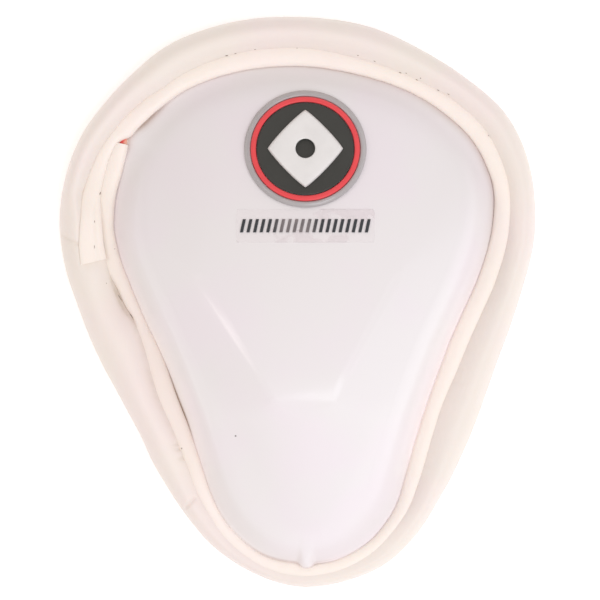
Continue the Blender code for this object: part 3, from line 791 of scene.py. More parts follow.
def swell(piece, held, pressure, cap):
    """Swells a stuffed piece as cloth, keeping held points and capping each move."""
    before = read_points(piece.data)
    group = piece.vertex_groups.new(name="held")
    for index in range(len(before)):
        group.add([index], float(held[index]), "REPLACE")
    cloth = piece.modifiers.new("Swell", "CLOTH")
    cloth.settings.quality = 6
    cloth.settings.mass = 0.2
    cloth.settings.tension_stiffness = 12
    cloth.settings.compression_stiffness = 8
    cloth.settings.bending_stiffness = 0.3
    cloth.settings.use_pressure = True
    cloth.settings.uniform_pressure_force = pressure
    cloth.settings.effector_weights.gravity = 0
    cloth.settings.vertex_group_mass = group.name
    cloth.collision_settings.use_collision = False
    cloth.point_cache.frame_start = 1
    cloth.point_cache.frame_end = SWELL_STEPS
    scene = bpy.context.scene
    for step in range(1, SWELL_STEPS + 1):
        scene.frame_set(step)
    evaluated = piece.evaluated_get(bpy.context.evaluated_depsgraph_get())
    swelled = evaluated.to_mesh()
    moved = read_points(swelled) - before
    evaluated.to_mesh_clear()
    piece.modifiers.remove(cloth)
    piece.vertex_groups.remove(group)
    scene.frame_set(1)
    length = np.linalg.norm(moved, axis=1)[:, None]
    moved = moved * np.minimum(1.0, cap / np.maximum(length, 1e-9))
    piece.data.vertices.foreach_set("co", (before + moved).ravel())
    piece.data.update()


def press_pad(piece, places, sides):
    """Presses the gathers, the creases and the bed of the strip's tail into the pad, and paints shade into
    the gathers and creases.
    """
    points = read_points(piece.data)
    here = edge_at(places)
    index = np.arange(len(places) * sides) // sides
    reach = ((points[:, 0] - here["x"][index]) * here["out_x"][index]
             + (points[:, 1] - here["y"][index]) * here["out_y"][index])
    place = places[index]
    upper = ease((points[:, 2] - UPPER_FROM) / UPPER_SPAN)
    sunk = np.zeros(len(points))
    for row in PUCKERS:
        pucker = dict(zip(PUCKER_COLUMNS, row))
        near = hump(place, pucker["place"], pucker["along"])
        spread = np.exp(-(((reach - pucker["reach"]) / pucker["across"]) ** 2))
        sunk += pucker["depth"] * near * spread
    for row in CREASES:
        crease = dict(zip(CREASE_COLUMNS, row))
        share = (reach - crease["reach_in"]) / (crease["reach_out"] - crease["reach_in"])
        slant = crease["place_out"] - crease["place_in"]
        apart = place - (crease["place_in"] + slant * np.clip(share, *CREASE_LINE_ENDS))
        within = ease((share + CREASE_ENDS) / CREASE_ENDS) * ease((CREASE_RUN_OUT - share) / CREASE_ENDS)
        sunk += crease["depth"] * np.exp(-((apart / crease["half"]) ** 2)) * within
        beyond = np.exp(-np.maximum(apart, 0) / CREASE_STEP_FADE)
        sunk += crease["step"] * ease(apart / CREASE_STEP_WIDTH + 0.5) * beyond * within
    points[:, 2] -= sunk * upper
    # Painted shade: the gathers and creases darken in step with how deep they are pressed.
    shade = np.empty(len(points))
    piece.data.attributes["seam"].data.foreach_get("value", shade)
    piece.data.attributes["seam"].data.foreach_set("value", shade + sunk * upper / PAINTED_CREASE_SHADE_DEPTH)
    turn = from_start(place)
    lap = read_lane(LAP_COLUMNS, STRIP_LAP, turn)
    middle = (lap["inner"] + lap["outer"]) / 2
    bed = FLANGE_TOP + lap["lift"] + lap["tilt"] * (reach - middle) + BED_SHARE * lap["tall"]
    bed = bed + BED_SIDE_SLOPE * np.maximum(0, reach - lap["outer"] + BED_MARGIN)
    bed = (bed + BED_END_SLOPE * np.maximum(0, turn - STRIP_LAP[-1][0] + BED_MARGIN)
           + BED_START_SLOPE * np.maximum(0, BED_START - turn))
    lowered = (upper > 0.5) & (turn > 0.0) & (turn < BED_END)
    points[lowered, 2] = soft_least(points[lowered, 2], bed[lowered], BED_SOFT)
    piece.data.vertices.foreach_set("co", points.ravel())
    piece.data.update()


# PVC leathercloth on knitted backing: a soft satin cream and a fine pressed grain, with a yellow-grey
# painted into the seams and creases: dust, and painted shade in the groove, the open seam and the creases.
# The strip is paler.
CREAM = "ebe1db"
CREAM_WARM = "ebe2d9"
CREAM_PINK = "eddfda"
STRIP_CREAM = "f3e9e1"
STRIP_WARM = "f3e9df"
STRIP_PINK = "f5e8e1"
SEAM_DUST_AND_SHADE = "b5a58c"
TINT_SIZE = 0.030
TINT_FROM = 0.40
TINT_TO = 0.60
SEAM_MOTTLE_SIZE = 0.003
DUST_AND_SHADE_SHARE = 0.7
WRINKLE_SIZE = 0.009
# The pressed grain of such cloth is about 0.5 mm, and is drawn at 0.9 mm so that it shows.
GRAIN_SIZE = 0.0009
FINE_GRAIN_SIZE = 0.0004
PAD_ROUGHNESS = 0.52
PAD_GRAIN = 0.10
STRIP_ROUGHNESS = 0.46
STRIP_GRAIN = 0.08


def leathercloth(name, cream, cream_warm, cream_pink, roughness, grain):
    """The material of the pad and of the strip."""
    material, tree, shader, where = start_material(name, cream, roughness)
    broad = add_node(tree, "ShaderNodeTexNoise", {"Vector": where, "Scale": 1 / TINT_SIZE, "Detail": 1.5})
    warm = add_node(tree, "ShaderNodeMapRange", {"Value": broad.outputs["Fac"], 1: TINT_FROM, 2: TINT_TO})
    pink = add_node(tree, "ShaderNodeMix", {0: 0.5, 6: (*linear(cream), 1), 7: (*linear(cream_pink), 1)},
                    data_type="RGBA")
    tint = add_node(tree, "ShaderNodeMix", {0: warm.outputs[0], 6: pink.outputs[2],
                                            7: (*linear(cream_warm), 1)}, data_type="RGBA")
    # The seam share mixes in a yellow-grey: dust, and painted shade in the grooves and creases.
    seam = add_node(tree, "ShaderNodeAttribute", attribute_name="seam")
    seam_mottle = add_node(tree, "ShaderNodeTexNoise", {"Vector": where, "Scale": 1 / SEAM_MOTTLE_SIZE, "Detail": 4.0})
    dust_and_shade_mask = add_node(tree, "ShaderNodeMath", {0: seam.outputs["Fac"], 1: seam_mottle.outputs["Fac"]},
                    operation="MULTIPLY")
    faint = add_node(tree, "ShaderNodeMath", {0: dust_and_shade_mask.outputs[0], 1: DUST_AND_SHADE_SHARE}, operation="MULTIPLY")
    colour = add_node(tree, "ShaderNodeMix", {0: faint.outputs[0], 6: tint.outputs[2],
                                              7: (*linear(SEAM_DUST_AND_SHADE), 1)}, data_type="RGBA")
    tree.links.new(colour.outputs[2], shader.inputs["Base Color"])
    pebbles = add_node(tree, "ShaderNodeTexVoronoi", {"Vector": where, "Scale": 1 / GRAIN_SIZE},
                       feature="SMOOTH_F1")
    fine = add_node(tree, "ShaderNodeTexNoise",
                    {"Vector": where, "Scale": 1 / FINE_GRAIN_SIZE, "Detail": 3.0})
    mixed = add_node(tree, "ShaderNodeMath", {0: pebbles.outputs["Distance"], 1: fine.outputs["Fac"]},
                     operation="ADD")
    wrinkles = add_node(tree, "ShaderNodeTexNoise", {"Vector": where, "Scale": 1 / WRINKLE_SIZE,
                                                     "Detail": 3.0, "Distortion": 0.6})
    wavy = add_node(tree, "ShaderNodeBump", {"Height": wrinkles.outputs["Fac"], "Strength": 0.25,
                                             "Distance": 0.0008})
    grained = add_node(tree, "ShaderNodeBump", {"Height": mixed.outputs[0], "Strength": grain,
                                                "Distance": 0.0002, "Normal": wavy.outputs[0]})
    tree.links.new(grained.outputs[0], shader.inputs["Normal"])
    shader.inputs["Sheen Weight"].default_value = 0.08
    shader.inputs["Subsurface Weight"].default_value = 0.10
    shader.inputs["Subsurface Radius"].default_value = (1.0, 0.7, 0.5)
    shader.inputs["Subsurface Scale"].default_value = 0.001
    return material


pad, pad_places, pad_sides = make_pad_cage()
pad_points = read_points(pad.data)
pad_seam = np.empty(len(pad_points))
pad.data.attributes["seam"].data.foreach_get("value", pad_seam)
on_back = pad_points[:, 2] < BACK_HEIGHT
in_slot = np.tile(np.arange(pad_sides) >= pad_sides - SLOT_POINTS, len(pad_places))
pad_held = np.clip(np.maximum(pad_seam * SEAM_HOLD, (on_back | in_slot) * 1.0), 0, 1)
swell(pad, pad_held, pressure=SWELL_PRESSURE, cap=SWELL_CAP)
press_pad(pad, pad_places, pad_sides)
finer = pad.modifiers.new("Finer", "SUBSURF")
finer.levels = 1
finer.render_levels = 1
pad.data.materials.append(leathercloth("cream_leathercloth", CREAM, CREAM_WARM, CREAM_PINK,
                                       PAD_ROUGHNESS, PAD_GRAIN))
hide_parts("rim_pad")
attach(pad, "root")

# The edge binding
# A strip of the same leathercloth rolled round a soft core, sewn over the joint of cup and
# pad. It starts at a cut end at upper left, runs down and once round the cup, passes outside
# its own start, and is pressed flat on the pad as a tail.
STRIP_STEP = 0.0007
STRIP_SIDES = 40
STRIP_FULLNESS = 0.5
FOLD_SHARE = 0.25
FOLD_DEPTH = 0.0005
FOLD_HALF = 0.12
GATHER_SIZE = 0.0045
GATHER_DEPTH = 0.00012
CUT_SKEW = -0.22
CUT_SKEW_LENGTH = 0.002
SECTION_RISE = 0.56
SECTION_MIDDLE = 0.46
TAIL_FLAT_FROM = 0.014
TAIL_FLAT_SPAN = 0.006


def make_strip_path():
    """The strip's base line as a chain of edges, with its side direction and sizes at each point."""
    first = STRIP_START[0][0]
    end = edge_length + STRIP_LAP[-1][0]
    count = int((end - first) / STRIP_STEP)
    run = first + (end - first) * np.arange(count + 1) / count
    here = edge_at(run)
    lane = strip_lane(run)
    skew = CUT_SKEW * np.exp(-(run - first) / CUT_SKEW_LENGTH)
    side_x = here["out_x"] + skew * here["out_y"]
    side_y = here["out_y"] - skew * here["out_x"]
    middle = (lane["inner"] + lane["outer"]) / 2
    spine = np.stack([here["x"] + side_x * middle, here["y"] + side_y * middle,
                      FLANGE_TOP + lane["lift"]], axis=1)
    mesh = bpy.data.meshes.new("strip_path")
    mesh.from_pydata([tuple(p) for p in spine], [(i, i + 1) for i in range(count)], [])
    side = mesh.attributes.new("outward", "FLOAT_VECTOR", "POINT")
    directions = np.stack([side_x, side_y, lane["tilt"]], axis=1)
    side.data.foreach_set("vector", directions.ravel())
    half_width = (lane["outer"] - lane["inner"]) / 2
    tail = ease((run - edge_length - TAIL_FLAT_FROM) / TAIL_FLAT_SPAN)
    for name, values in (("half_width", half_width), ("tall", lane["tall"]), ("tail", tail)):
        mesh.attributes.new(name, "FLOAT", "POINT").data.foreach_set("value", values)
    made = bpy.data.objects.new("strip_path", mesh)
    bpy.context.scene.collection.objects.link(made)
    return made


def input_socket(tree, name, kind, value=None):
    """Adds a named input to a tree and returns its identifier."""
    socket = tree.interface.new_socket(name, in_out="INPUT", socket_type=kind)
    if value is not None:
        socket.default_value = value
    return socket.identifier


def strip_tree(material):
    """Sweeps a rolled section along the path: flat below, round above, gathered a little."""
    tree = bpy.data.node_groups.new("rolled_strip", "GeometryNodeTree")
    input_socket(tree, "Geometry", "NodeSocketGeometry")
    names = {
        "sides": input_socket(tree, "Sides", "NodeSocketInt", STRIP_SIDES),
        "fullness": input_socket(tree, "Fullness", "NodeSocketFloat", STRIP_FULLNESS),
        "gather_size": input_socket(tree, "Gather Size", "NodeSocketFloat", GATHER_SIZE),
        "gather_depth": input_socket(tree, "Gather Depth", "NodeSocketFloat", GATHER_DEPTH),
        "fold_depth": input_socket(tree, "Fold Depth", "NodeSocketFloat", FOLD_DEPTH),
    }
    tree.interface.new_socket("Geometry", in_out="OUTPUT", socket_type="NodeSocketGeometry")
    given = add_node(tree, "NodeGroupInput")
    where = add_node(tree, "GeometryNodeInputPosition").outputs[0]
    kept_spine = add_node(tree, "GeometryNodeStoreNamedAttribute",
                          {"Geometry": given.outputs["Geometry"], "Name": "spine", "Value": where},
                          data_type="FLOAT_VECTOR", domain="POINT")
    path = add_node(tree, "GeometryNodeMeshToCurve", {"Mesh": kept_spine.outputs[0]})
    ring = add_node(tree, "GeometryNodeCurvePrimitiveCircle",
                    {"Resolution": given.outputs["Sides"], "Radius": 1.0})
    kept_ring = add_node(tree, "GeometryNodeStoreNamedAttribute",
                         {"Geometry": ring.outputs["Curve"], "Name": "section", "Value": where},
                         data_type="FLOAT_VECTOR", domain="POINT")
    tube = add_node(tree, "GeometryNodeCurveToMesh",
                    {"Curve": path.outputs[0], "Profile Curve": kept_ring.outputs[0], "Fill Caps": True})

    def field(name, kind="FLOAT"):
        """A named value that each point carries."""
        return add_node(tree, "GeometryNodeInputNamedAttribute", {"Name": name}, data_type=kind).outputs[0]

    section = add_node(tree, "ShaderNodeSeparateXYZ", {0: field("section", "FLOAT_VECTOR")})
    reach = add_node(tree, "ShaderNodeMath", {0: section.outputs["X"], 1: field("half_width")},
                     operation="MULTIPLY")
    above = add_node(tree, "ShaderNodeMath", {0: section.outputs["Y"], 1: 0.0}, operation="MAXIMUM")
    below = add_node(tree, "ShaderNodeMath", {0: section.outputs["Y"], 1: 0.0}, operation="MINIMUM")
    full = add_node(tree, "ShaderNodeMath", {0: above.outputs[0], 1: given.outputs["Fullness"]},
                    operation="POWER")
    both = add_node(tree, "ShaderNodeMath", {0: full.outputs[0], 1: below.outputs[0]}, operation="ADD")
    up = add_node(tree, "ShaderNodeMath", {0: both.outputs[0], 1: SECTION_RISE, 2: SECTION_MIDDLE},
                  operation="MULTIPLY_ADD")
    flat = add_node(tree, "ShaderNodeMath", {0: up.outputs[0], 1: 0.0}, operation="MAXIMUM")
    rise = add_node(tree, "ShaderNodeMath", {0: flat.outputs[0], 1: field("tall")}, operation="MULTIPLY")
    from_fold = add_node(tree, "ShaderNodeMath", {0: section.outputs["X"], 1: -FOLD_SHARE},
                         operation="SUBTRACT")
    off_fold = add_node(tree, "ShaderNodeMath", {0: from_fold.outputs[0]}, operation="ABSOLUTE")
    fold_near = add_node(tree, "ShaderNodeMapRange",
                         {"Value": off_fold.outputs[0], 1: 0.0, 2: FOLD_HALF, 3: 1.0, 4: 0.0},
                         interpolation_type="SMOOTHSTEP")
    fold = add_node(tree, "ShaderNodeMath", {0: fold_near.outputs[0], 1: field("tail")},
                    operation="MULTIPLY")
    top_only = add_node(tree, "ShaderNodeMath", {0: fold.outputs[0], 1: flat.outputs[0]},
                        operation="MULTIPLY")
    sunk = add_node(tree, "ShaderNodeMath", {0: top_only.outputs[0], 1: given.outputs["Fold Depth"]},
                    operation="MULTIPLY")
    level = add_node(tree, "ShaderNodeMath", {0: rise.outputs[0], 1: sunk.outputs[0]}, operation="SUBTRACT")
    sideways = add_node(tree, "ShaderNodeVectorMath",
                        {0: field("outward", "FLOAT_VECTOR"), "Scale": reach.outputs[0]}, operation="SCALE")
    upward = add_node(tree, "ShaderNodeCombineXYZ", {"Z": level.outputs[0]})
    around = add_node(tree, "ShaderNodeVectorMath", {0: sideways.outputs[0], 1: upward.outputs[0]},
                      operation="ADD")
    place = add_node(tree, "ShaderNodeVectorMath",
                     {0: field("spine", "FLOAT_VECTOR"), 1: around.outputs[0]}, operation="ADD")
    shaped = add_node(tree, "GeometryNodeSetPosition",
                      {"Geometry": tube.outputs[0], "Position": place.outputs[0]})
    tighter = add_node(tree, "ShaderNodeMath", {0: 1.0, 1: given.outputs["Gather Size"]}, operation="DIVIDE")
    noise = add_node(tree, "ShaderNodeTexNoise",
                     {"Vector": where, "Scale": tighter.outputs[0], "Detail": 2.0})
    centred = add_node(tree, "ShaderNodeMath", {0: noise.outputs["Fac"], 1: 0.5}, operation="SUBTRACT")
    depth = add_node(tree, "ShaderNodeMath", {0: centred.outputs[0], 1: given.outputs["Gather Depth"]},
                     operation="MULTIPLY")
    double = add_node(tree, "ShaderNodeMath", {0: depth.outputs[0], 1: 2.0}, operation="MULTIPLY")
    normal = add_node(tree, "GeometryNodeInputNormal")
    push = add_node(tree, "ShaderNodeVectorMath", {0: normal.outputs[0], "Scale": double.outputs[0]},
                    operation="SCALE")
    gathered = add_node(tree, "GeometryNodeSetPosition",
                        {"Geometry": shaped.outputs[0], "Offset": push.outputs[0]})
    real = add_node(tree, "GeometryNodeRealizeInstances", {"Geometry": gathered.outputs[0]})
    painted = add_node(tree, "GeometryNodeSetMaterial", {"Geometry": real.outputs[0], "Material": material})
    add_node(tree, "NodeGroupOutput", {"Geometry": painted.outputs[0]})
    return tree, names


def grown(source, tree, values, name):
    """Runs a tree on an object and keeps the result as a plain mesh under a new name."""
    grow = source.modifiers.new("Grow", "NODES")
    grow.node_group = tree
    for identifier, value in values.items():
        grow[identifier] = value
    bpy.context.view_layer.update()
    evaluated = source.evaluated_get(bpy.context.evaluated_depsgraph_get())
    mesh = bpy.data.meshes.new_from_object(evaluated)
    bpy.data.objects.remove(source, do_unlink=True)
    mesh.name = name
    mesh.shade_smooth()
    made = bpy.data.objects.new(name, mesh)
    bpy.context.scene.collection.objects.link(made)
    return made


def face_outward(piece):
    """Turns every face of a closed piece outwards."""
    build = bmesh.new()
    build.from_mesh(piece.data)
    bmesh.ops.recalc_face_normals(build, faces=build.faces)
    build.to_mesh(piece.data)
    build.free()


strip_material = leathercloth("rolled_leathercloth", STRIP_CREAM, STRIP_WARM, STRIP_PINK,
                              STRIP_ROUGHNESS, STRIP_GRAIN)
rolled_strip, strip_inputs = strip_tree(strip_material)
strip = grown(make_strip_path(), rolled_strip, {
    strip_inputs["sides"]: STRIP_SIDES,
    strip_inputs["fullness"]: STRIP_FULLNESS,
    strip_inputs["gather_size"]: GATHER_SIZE,
    strip_inputs["gather_depth"]: GATHER_DEPTH,
    strip_inputs["fold_depth"]: FOLD_DEPTH,
}, "rolled_binding")
face_outward(strip)
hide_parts("edge_binding")
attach(strip, "root")

# The core's end
# The strip is rolled round a red core. Where the strip starts, its cut end shows the core: a
# salmon cut face, and past it a red tip that is caught between this end and the lap beside it.
# Each point of the three rows: place, reach, height.
CORE_CUT_ROW = (
    (0.0003, 0.0041, 0.0080),
    (0.0002, 0.0034, 0.0093),
    (0.0001, 0.0026, 0.0098),
    (0.0000, 0.0018, 0.0094),
    (-0.0001, 0.0010, 0.0082),
)
CORE_SIDE_ROW = (
    (-0.0004, 0.0042, 0.0080),
    (-0.0008, 0.0036, 0.0089),
    (-0.0012, 0.0029, 0.0091),
    (-0.0016, 0.0022, 0.0087),
    (-0.0018, 0.0015, 0.0079),
)
CORE_TIP_ROW = (
    (-0.0004, 0.0043, 0.0078),
    (-0.0011, 0.0039, 0.0082),
    (-0.0017, 0.0034, 0.0084),
    (-0.0022, 0.0029, 0.0084),
    (-0.0026, 0.0024, 0.0080),
)
CORE_CUT_FACE = 0.0017
CORE_CUT_BLEND = 0.0012
CORE_FIBRE = 0.0003
CORE_RED = "e2504c"
CORE_SALMON = "f3c3ab"


def slab_faces(wide, tall):
    """Faces of a closed slab: two grids of points, one over the other, and the border between."""
    layer = wide * tall
    faces = []
    for level in (0, layer):
        for j in range(tall - 1):
            for i in range(wide - 1):
                a = level + j * wide + i
                faces.append((a, a + 1, a + wide + 1, a + wide))
    border = list(range(wide)) + [j * wide + wide - 1 for j in range(1, tall)]
    border += [(tall - 1) * wide + i for i in range(wide - 2, -1, -1)]
    border += [j * wide for j in range(tall - 2, 0, -1)]
    for a, b in zip(border, border[1:] + border[:1]):
        faces.append((a, b, b + layer, a + layer))
    return faces


def make_core_end():
    """The end of the core as a small closed lump between its cut row and its tip row."""
    rows = []
    for share in (0.0, 0.25, 0.5, 0.75, 1.0):
        if share <= 0.5:
            row = np.array(CORE_CUT_ROW) * (1 - 2 * share) + np.array(CORE_SIDE_ROW) * 2 * share
        else:
            row = np.array(CORE_SIDE_ROW) * (2 - 2 * share) + np.array(CORE_TIP_ROW) * (2 * share - 1)
        rows.append((share, row))
    corners = []
    red = []
    for level in ("top", "bottom"):
        for share, row in rows:
            for place, reach, height in row:
                here = edge_at(place)
                height = height if level == "top" else FLANGE_TOP + CLEARANCE
                corners.append((here["x"] + here["out_x"] * reach,
                                here["y"] + here["out_y"] * reach, height))
                red.append(float(ease((reach - CORE_CUT_FACE) / CORE_CUT_BLEND)))
    core = mesh_of("core_end", corners, slab_faces(len(CORE_CUT_ROW), len(rows)))
    core.data.attributes.new("red", "FLOAT", "POINT").data.foreach_set("value", red)
    face_outward(core)
    return core


def core_fibre():
    """Dyed fibre of the core, packed: dull and matted, salmon where it is cut, red on its skin."""
    material, tree, shader, where = start_material("dyed_core_fibre", CORE_RED, 0.8)
    red = add_node(tree, "ShaderNodeAttribute", attribute_name="red")
    colour = add_node(tree, "ShaderNodeMix", {0: red.outputs["Fac"], 6: (*linear(CORE_SALMON), 1),
                                              7: (*linear(CORE_RED), 1)}, data_type="RGBA")
    tree.links.new(colour.outputs[2], shader.inputs["Base Color"])
    tufts = add_node(tree, "ShaderNodeTexVoronoi", {"Vector": where, "Scale": 1 / CORE_FIBRE})
    bump = add_node(tree, "ShaderNodeBump", {"Height": tufts.outputs["Distance"], "Strength": 0.3,
                                             "Distance": 0.0001})
    tree.links.new(bump.outputs[0], shader.inputs["Normal"])
    return material


core_end = make_core_end()
core_end.data.materials.append(core_fibre())
core_finer = core_end.modifiers.new("Finer", "SUBSURF")
core_finer.levels = 1
core_finer.render_levels = 1
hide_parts("binding_core_end")
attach(core_end, "root")

# The adhesive in the joint, and the shade in the open seam's slits
# Crumbs of dried contact adhesive that squeezed out between strip and pad when the rim was closed: hard and
# brown, about a millimetre long. The two longer ones in the open seam are painted shadow: dark lumps set
# where the slits show shade.
CRUMB_COLUMNS = ("place", "reach", "length", "width")
CRUMBS_AND_SLIT_SHADES = (
    (0.3145, 0.0041, 0.00110, 0.00045),
    (0.3130, 0.0047, 0.00045, 0.00028),
    (0.3097, 0.0043, 0.00070, 0.00030),
    (0.3090, 0.0052, 0.00045, 0.00040),
    (0.3033, 0.0048, 0.00080, 0.00028),
    (0.3004, 0.0055, 0.00080, 0.00028),
    (0.2854, 0.0047, 0.00060, 0.00024),
    (0.3629, 0.0051, 0.00090, 0.00036),
    (0.3604, 0.0051, 0.00070, 0.00030),
    (0.3551, 0.0053, 0.00050, 0.00028),
    (0.3437, 0.0051, 0.00050, 0.00026),
    (0.3270, 0.0053, 0.00055, 0.00030),
    (0.3222, 0.0049, 0.00070, 0.00028),
    (0.0145, 0.0051, 0.00100, 0.00036),
    (0.0219, 0.0059, 0.00090, 0.00024),
    (0.0285, 0.0064, 0.00110, 0.00022),
    (0.0378, 0.0059, 0.00032, 0.00030),
    (0.0296, 0.0007, 0.00030, 0.00026),
    # Painted shadow: these two dark lumps stand in for the shaded slits of the open seam.
    (0.0430, 0.0040, 0.00260, 0.00028),
    (0.0499, 0.0031, 0.00240, 0.00042),
    (0.0906, 0.0037, 0.00050, 0.00040),
)
CRUMB_SUNK = 0.6
CRUMB_SEED = 7
CRUMB_ROUGHNESS = 0.35
CRUMB_AND_SLIT_BROWN = "5a4636"
CRUMB_AND_SLIT_AMBER = "a58f7a"
CRUMB_PATCH = 0.0008
CRUMB_LUMPS = 1.6
CRUMB_TURN = (0.2, 0.1, 0.2)


def crumb_tree(material):
    """Puts a rough crumb at each point, sized by the point and turned at random."""
    tree = bpy.data.node_groups.new("adhesive_crumbs", "GeometryNodeTree")
    input_socket(tree, "Geometry", "NodeSocketGeometry")
    names = {
        "seed": input_socket(tree, "Seed", "NodeSocketInt", CRUMB_SEED),
        "roughness": input_socket(tree, "Roughness", "NodeSocketFloat", CRUMB_ROUGHNESS),
    }
    tree.interface.new_socket("Geometry", in_out="OUTPUT", socket_type="NodeSocketGeometry")
    given = add_node(tree, "NodeGroupInput")
    grit = add_node(tree, "GeometryNodeMeshIcoSphere", {"Radius": 1.0, "Subdivisions": 3})
    rough = add_node(tree, "ShaderNodeTexNoise", {"Scale": CRUMB_LUMPS, "Detail": 3.0})
    swing = add_node(tree, "ShaderNodeMapRange",
                     {"Value": rough.outputs["Fac"], 1: 0.3, 2: 0.7, 3: -1.0, 4: 1.0})
    deep = add_node(tree, "ShaderNodeMath", {0: swing.outputs[0], 1: given.outputs["Roughness"]},
                    operation="MULTIPLY")
    normal = add_node(tree, "GeometryNodeInputNormal")
    push = add_node(tree, "ShaderNodeVectorMath", {0: normal.outputs[0], "Scale": deep.outputs[0]},
                    operation="SCALE")
    crumb = add_node(tree, "GeometryNodeSetPosition",
                     {"Geometry": grit.outputs["Mesh"], "Offset": push.outputs[0]})
    length, width, angle = (
        add_node(tree, "GeometryNodeInputNamedAttribute", {"Name": name}, data_type="FLOAT").outputs[0]
        for name in ("length", "width", "angle"))
    scale = add_node(tree, "ShaderNodeCombineXYZ", {"X": length, "Y": width, "Z": width})
    along = add_node(tree, "ShaderNodeCombineXYZ", {"Z": angle})
    least_turn = tuple(-most for most in CRUMB_TURN)
    turn = add_node(tree, "FunctionNodeRandomValue",
                    {"Min": least_turn, "Max": CRUMB_TURN, "Seed": given.outputs["Seed"]},
                    data_type="FLOAT_VECTOR")
    turned = add_node(tree, "ShaderNodeVectorMath", {0: along.outputs[0], 1: turn.outputs[0]},
                      operation="ADD")
    laid = add_node(tree, "GeometryNodeInstanceOnPoints",
                    {"Points": given.outputs["Geometry"], "Instance": crumb.outputs[0],
                     "Rotation": turned.outputs[0], "Scale": scale.outputs[0]})
    real = add_node(tree, "GeometryNodeRealizeInstances", {"Geometry": laid.outputs[0]})
    painted = add_node(tree, "GeometryNodeSetMaterial", {"Geometry": real.outputs[0], "Material": material})
    add_node(tree, "NodeGroupOutput", {"Geometry": painted.outputs[0]})
    return tree, names


def make_crumb_points():
    """The points at which the crumbs lie, in the joint between strip and pad."""
    table = dict(zip(CRUMB_COLUMNS, np.array(CRUMBS_AND_SLIT_SHADES).T))
    here = edge_at(table["place"])
    x = here["x"] + here["out_x"] * table["reach"]
    y = here["y"] + here["out_y"] * table["reach"]
    corners = []
    graph = bpy.context.evaluated_depsgraph_get()
    carriers = [BVHTree.FromObject(piece, graph) for piece in (pad, strip)]
    for k in range(len(x)):
        hits = [tree.ray_cast((x[k], y[k], 0.1), (0, 0, -1))[0] for tree in carriers]
        top = max(hit.z for hit in hits if hit is not None)
        corners.append((x[k], y[k], top - CRUMB_SUNK * table["width"][k] / 2))
    points = mesh_of("crumb_points", corners, [])
    angle = np.arctan2(-here["out_x"], here["out_y"])
    for name, values in (("length", table["length"] / 2), ("width", table["width"] / 2), ("angle", angle)):
        points.data.attributes.new(name, "FLOAT", "POINT").data.foreach_set("value", values)
    return points


def dried_adhesive():
    """Dried contact adhesive: amber brown and half glossy, darker in patches. It also colours the two dark
    lumps painted as shadow in the slits.
    """
    material, tree, shader, where = start_material("dried_adhesive", CRUMB_AND_SLIT_BROWN, 0.45)
    patches = add_node(tree, "ShaderNodeTexNoise",
                       {"Vector": where, "Scale": 1 / CRUMB_PATCH, "Detail": 3.0})
    colour = add_node(tree, "ShaderNodeMix", {0: patches.outputs["Fac"], 6: (*linear(CRUMB_AND_SLIT_BROWN), 1),
                                              7: (*linear(CRUMB_AND_SLIT_AMBER), 1)}, data_type="RGBA")
    tree.links.new(colour.outputs[2], shader.inputs["Base Color"])
    return material


crumbs, crumb_inputs = crumb_tree(dried_adhesive())
adhesive = grown(make_crumb_points(), crumbs, {
    crumb_inputs["seed"]: CRUMB_SEED,
    crumb_inputs["roughness"]: CRUMB_ROUGHNESS,
}, "adhesive_crumbs")
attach(adhesive, "root")

# The badge
# A soft PVC badge, moulded in colours and glued to the cup: a clear bezel with sloped sides,
# a red rim inside it, a matt black field, and a raised white lozenge with a round hole.
BADGE_ACROSS_SHARE = 0.0
BADGE_ALONG_SHARE = 0.665
BADGE_WIDTH = 0.0350
BADGE_HEIGHT = 0.0340
BEZEL_BAND = 0.0016
RING_BAND = 0.0014
BADGE_THICKNESS = 0.0012
EMBLEM_WIDTH = 0.0215
EMBLEM_HEIGHT = 0.0225
EMBLEM_THICKNESS = 0.0007
EMBLEM_HOLE = 0.0056
EMBLEM_ROUNDING = 1.12
EMBLEM_SLOPE = 0.0011
FIELD_DROP = 0.0003
BADGE_SIDES = 160
FLOW_MARKS = 0.006
SPARK_GRAIN = 0.0003
PALER = 1.15
BEZEL_CLEAR = "bdb8b8"
BADGE_RED = "e0454a"
BADGE_BLACK = "33332f"
EMBLEM_WHITE = "dedcda"
badge_centre = np.array([BADGE_ACROSS_SHARE * SHELL_WIDTH / 2, BADGE_ALONG_SHARE * SHELL_LENGTH / 2])
badge_centre = badge_centre - cup_middle


def outline(width, height, power=2.0):
    """A closed outline about the badge's middle: an oval at power 2, a lozenge near power 1."""
    turns = np.arange(BADGE_SIDES) * 2 * math.pi / BADGE_SIDES
    reach = (np.abs(np.cos(turns) * 2 / width) ** power
             + np.abs(np.sin(turns) * 2 / height) ** power) ** (-1 / power)
    return np.stack([reach * np.cos(turns), reach * np.sin(turns)], axis=1)


def moulded_on_cup(name, rings, filled):
    """Skins rings of outline and rise that follow the cup, round a hole or over a middle."""
    corners = []
    for shape, rise in rings:
        x = shape[:, 0] + badge_centre[0]
        y = shape[:, 1] + badge_centre[1]
        corners += list(zip(x, y, cup_height(x, y) + rise))
    count = BADGE_SIDES
    faces = ring_faces(len(rings), count, not filled)
    if filled:
        for ring, rise in ((0, rings[0][1]), (len(rings) - 1, rings[-1][1])):
            x, y = badge_centre
            corners.append((x, y, float(cup_height(x, y)) + rise))
            for i in range(count):
                faces.append((ring * count + i, ring * count + (i + 1) % count, len(corners) - 1))
    piece = mesh_of(name, corners, faces)
    face_outward(piece)
    return piece


def band_rings(width, height, band, profile):
    """Rings of a band: each profile point is a share of the band inwards, and a rise."""
    return [(outline(width - 2 * band * share, height - 2 * band * share), rise)
            for share, rise in profile]


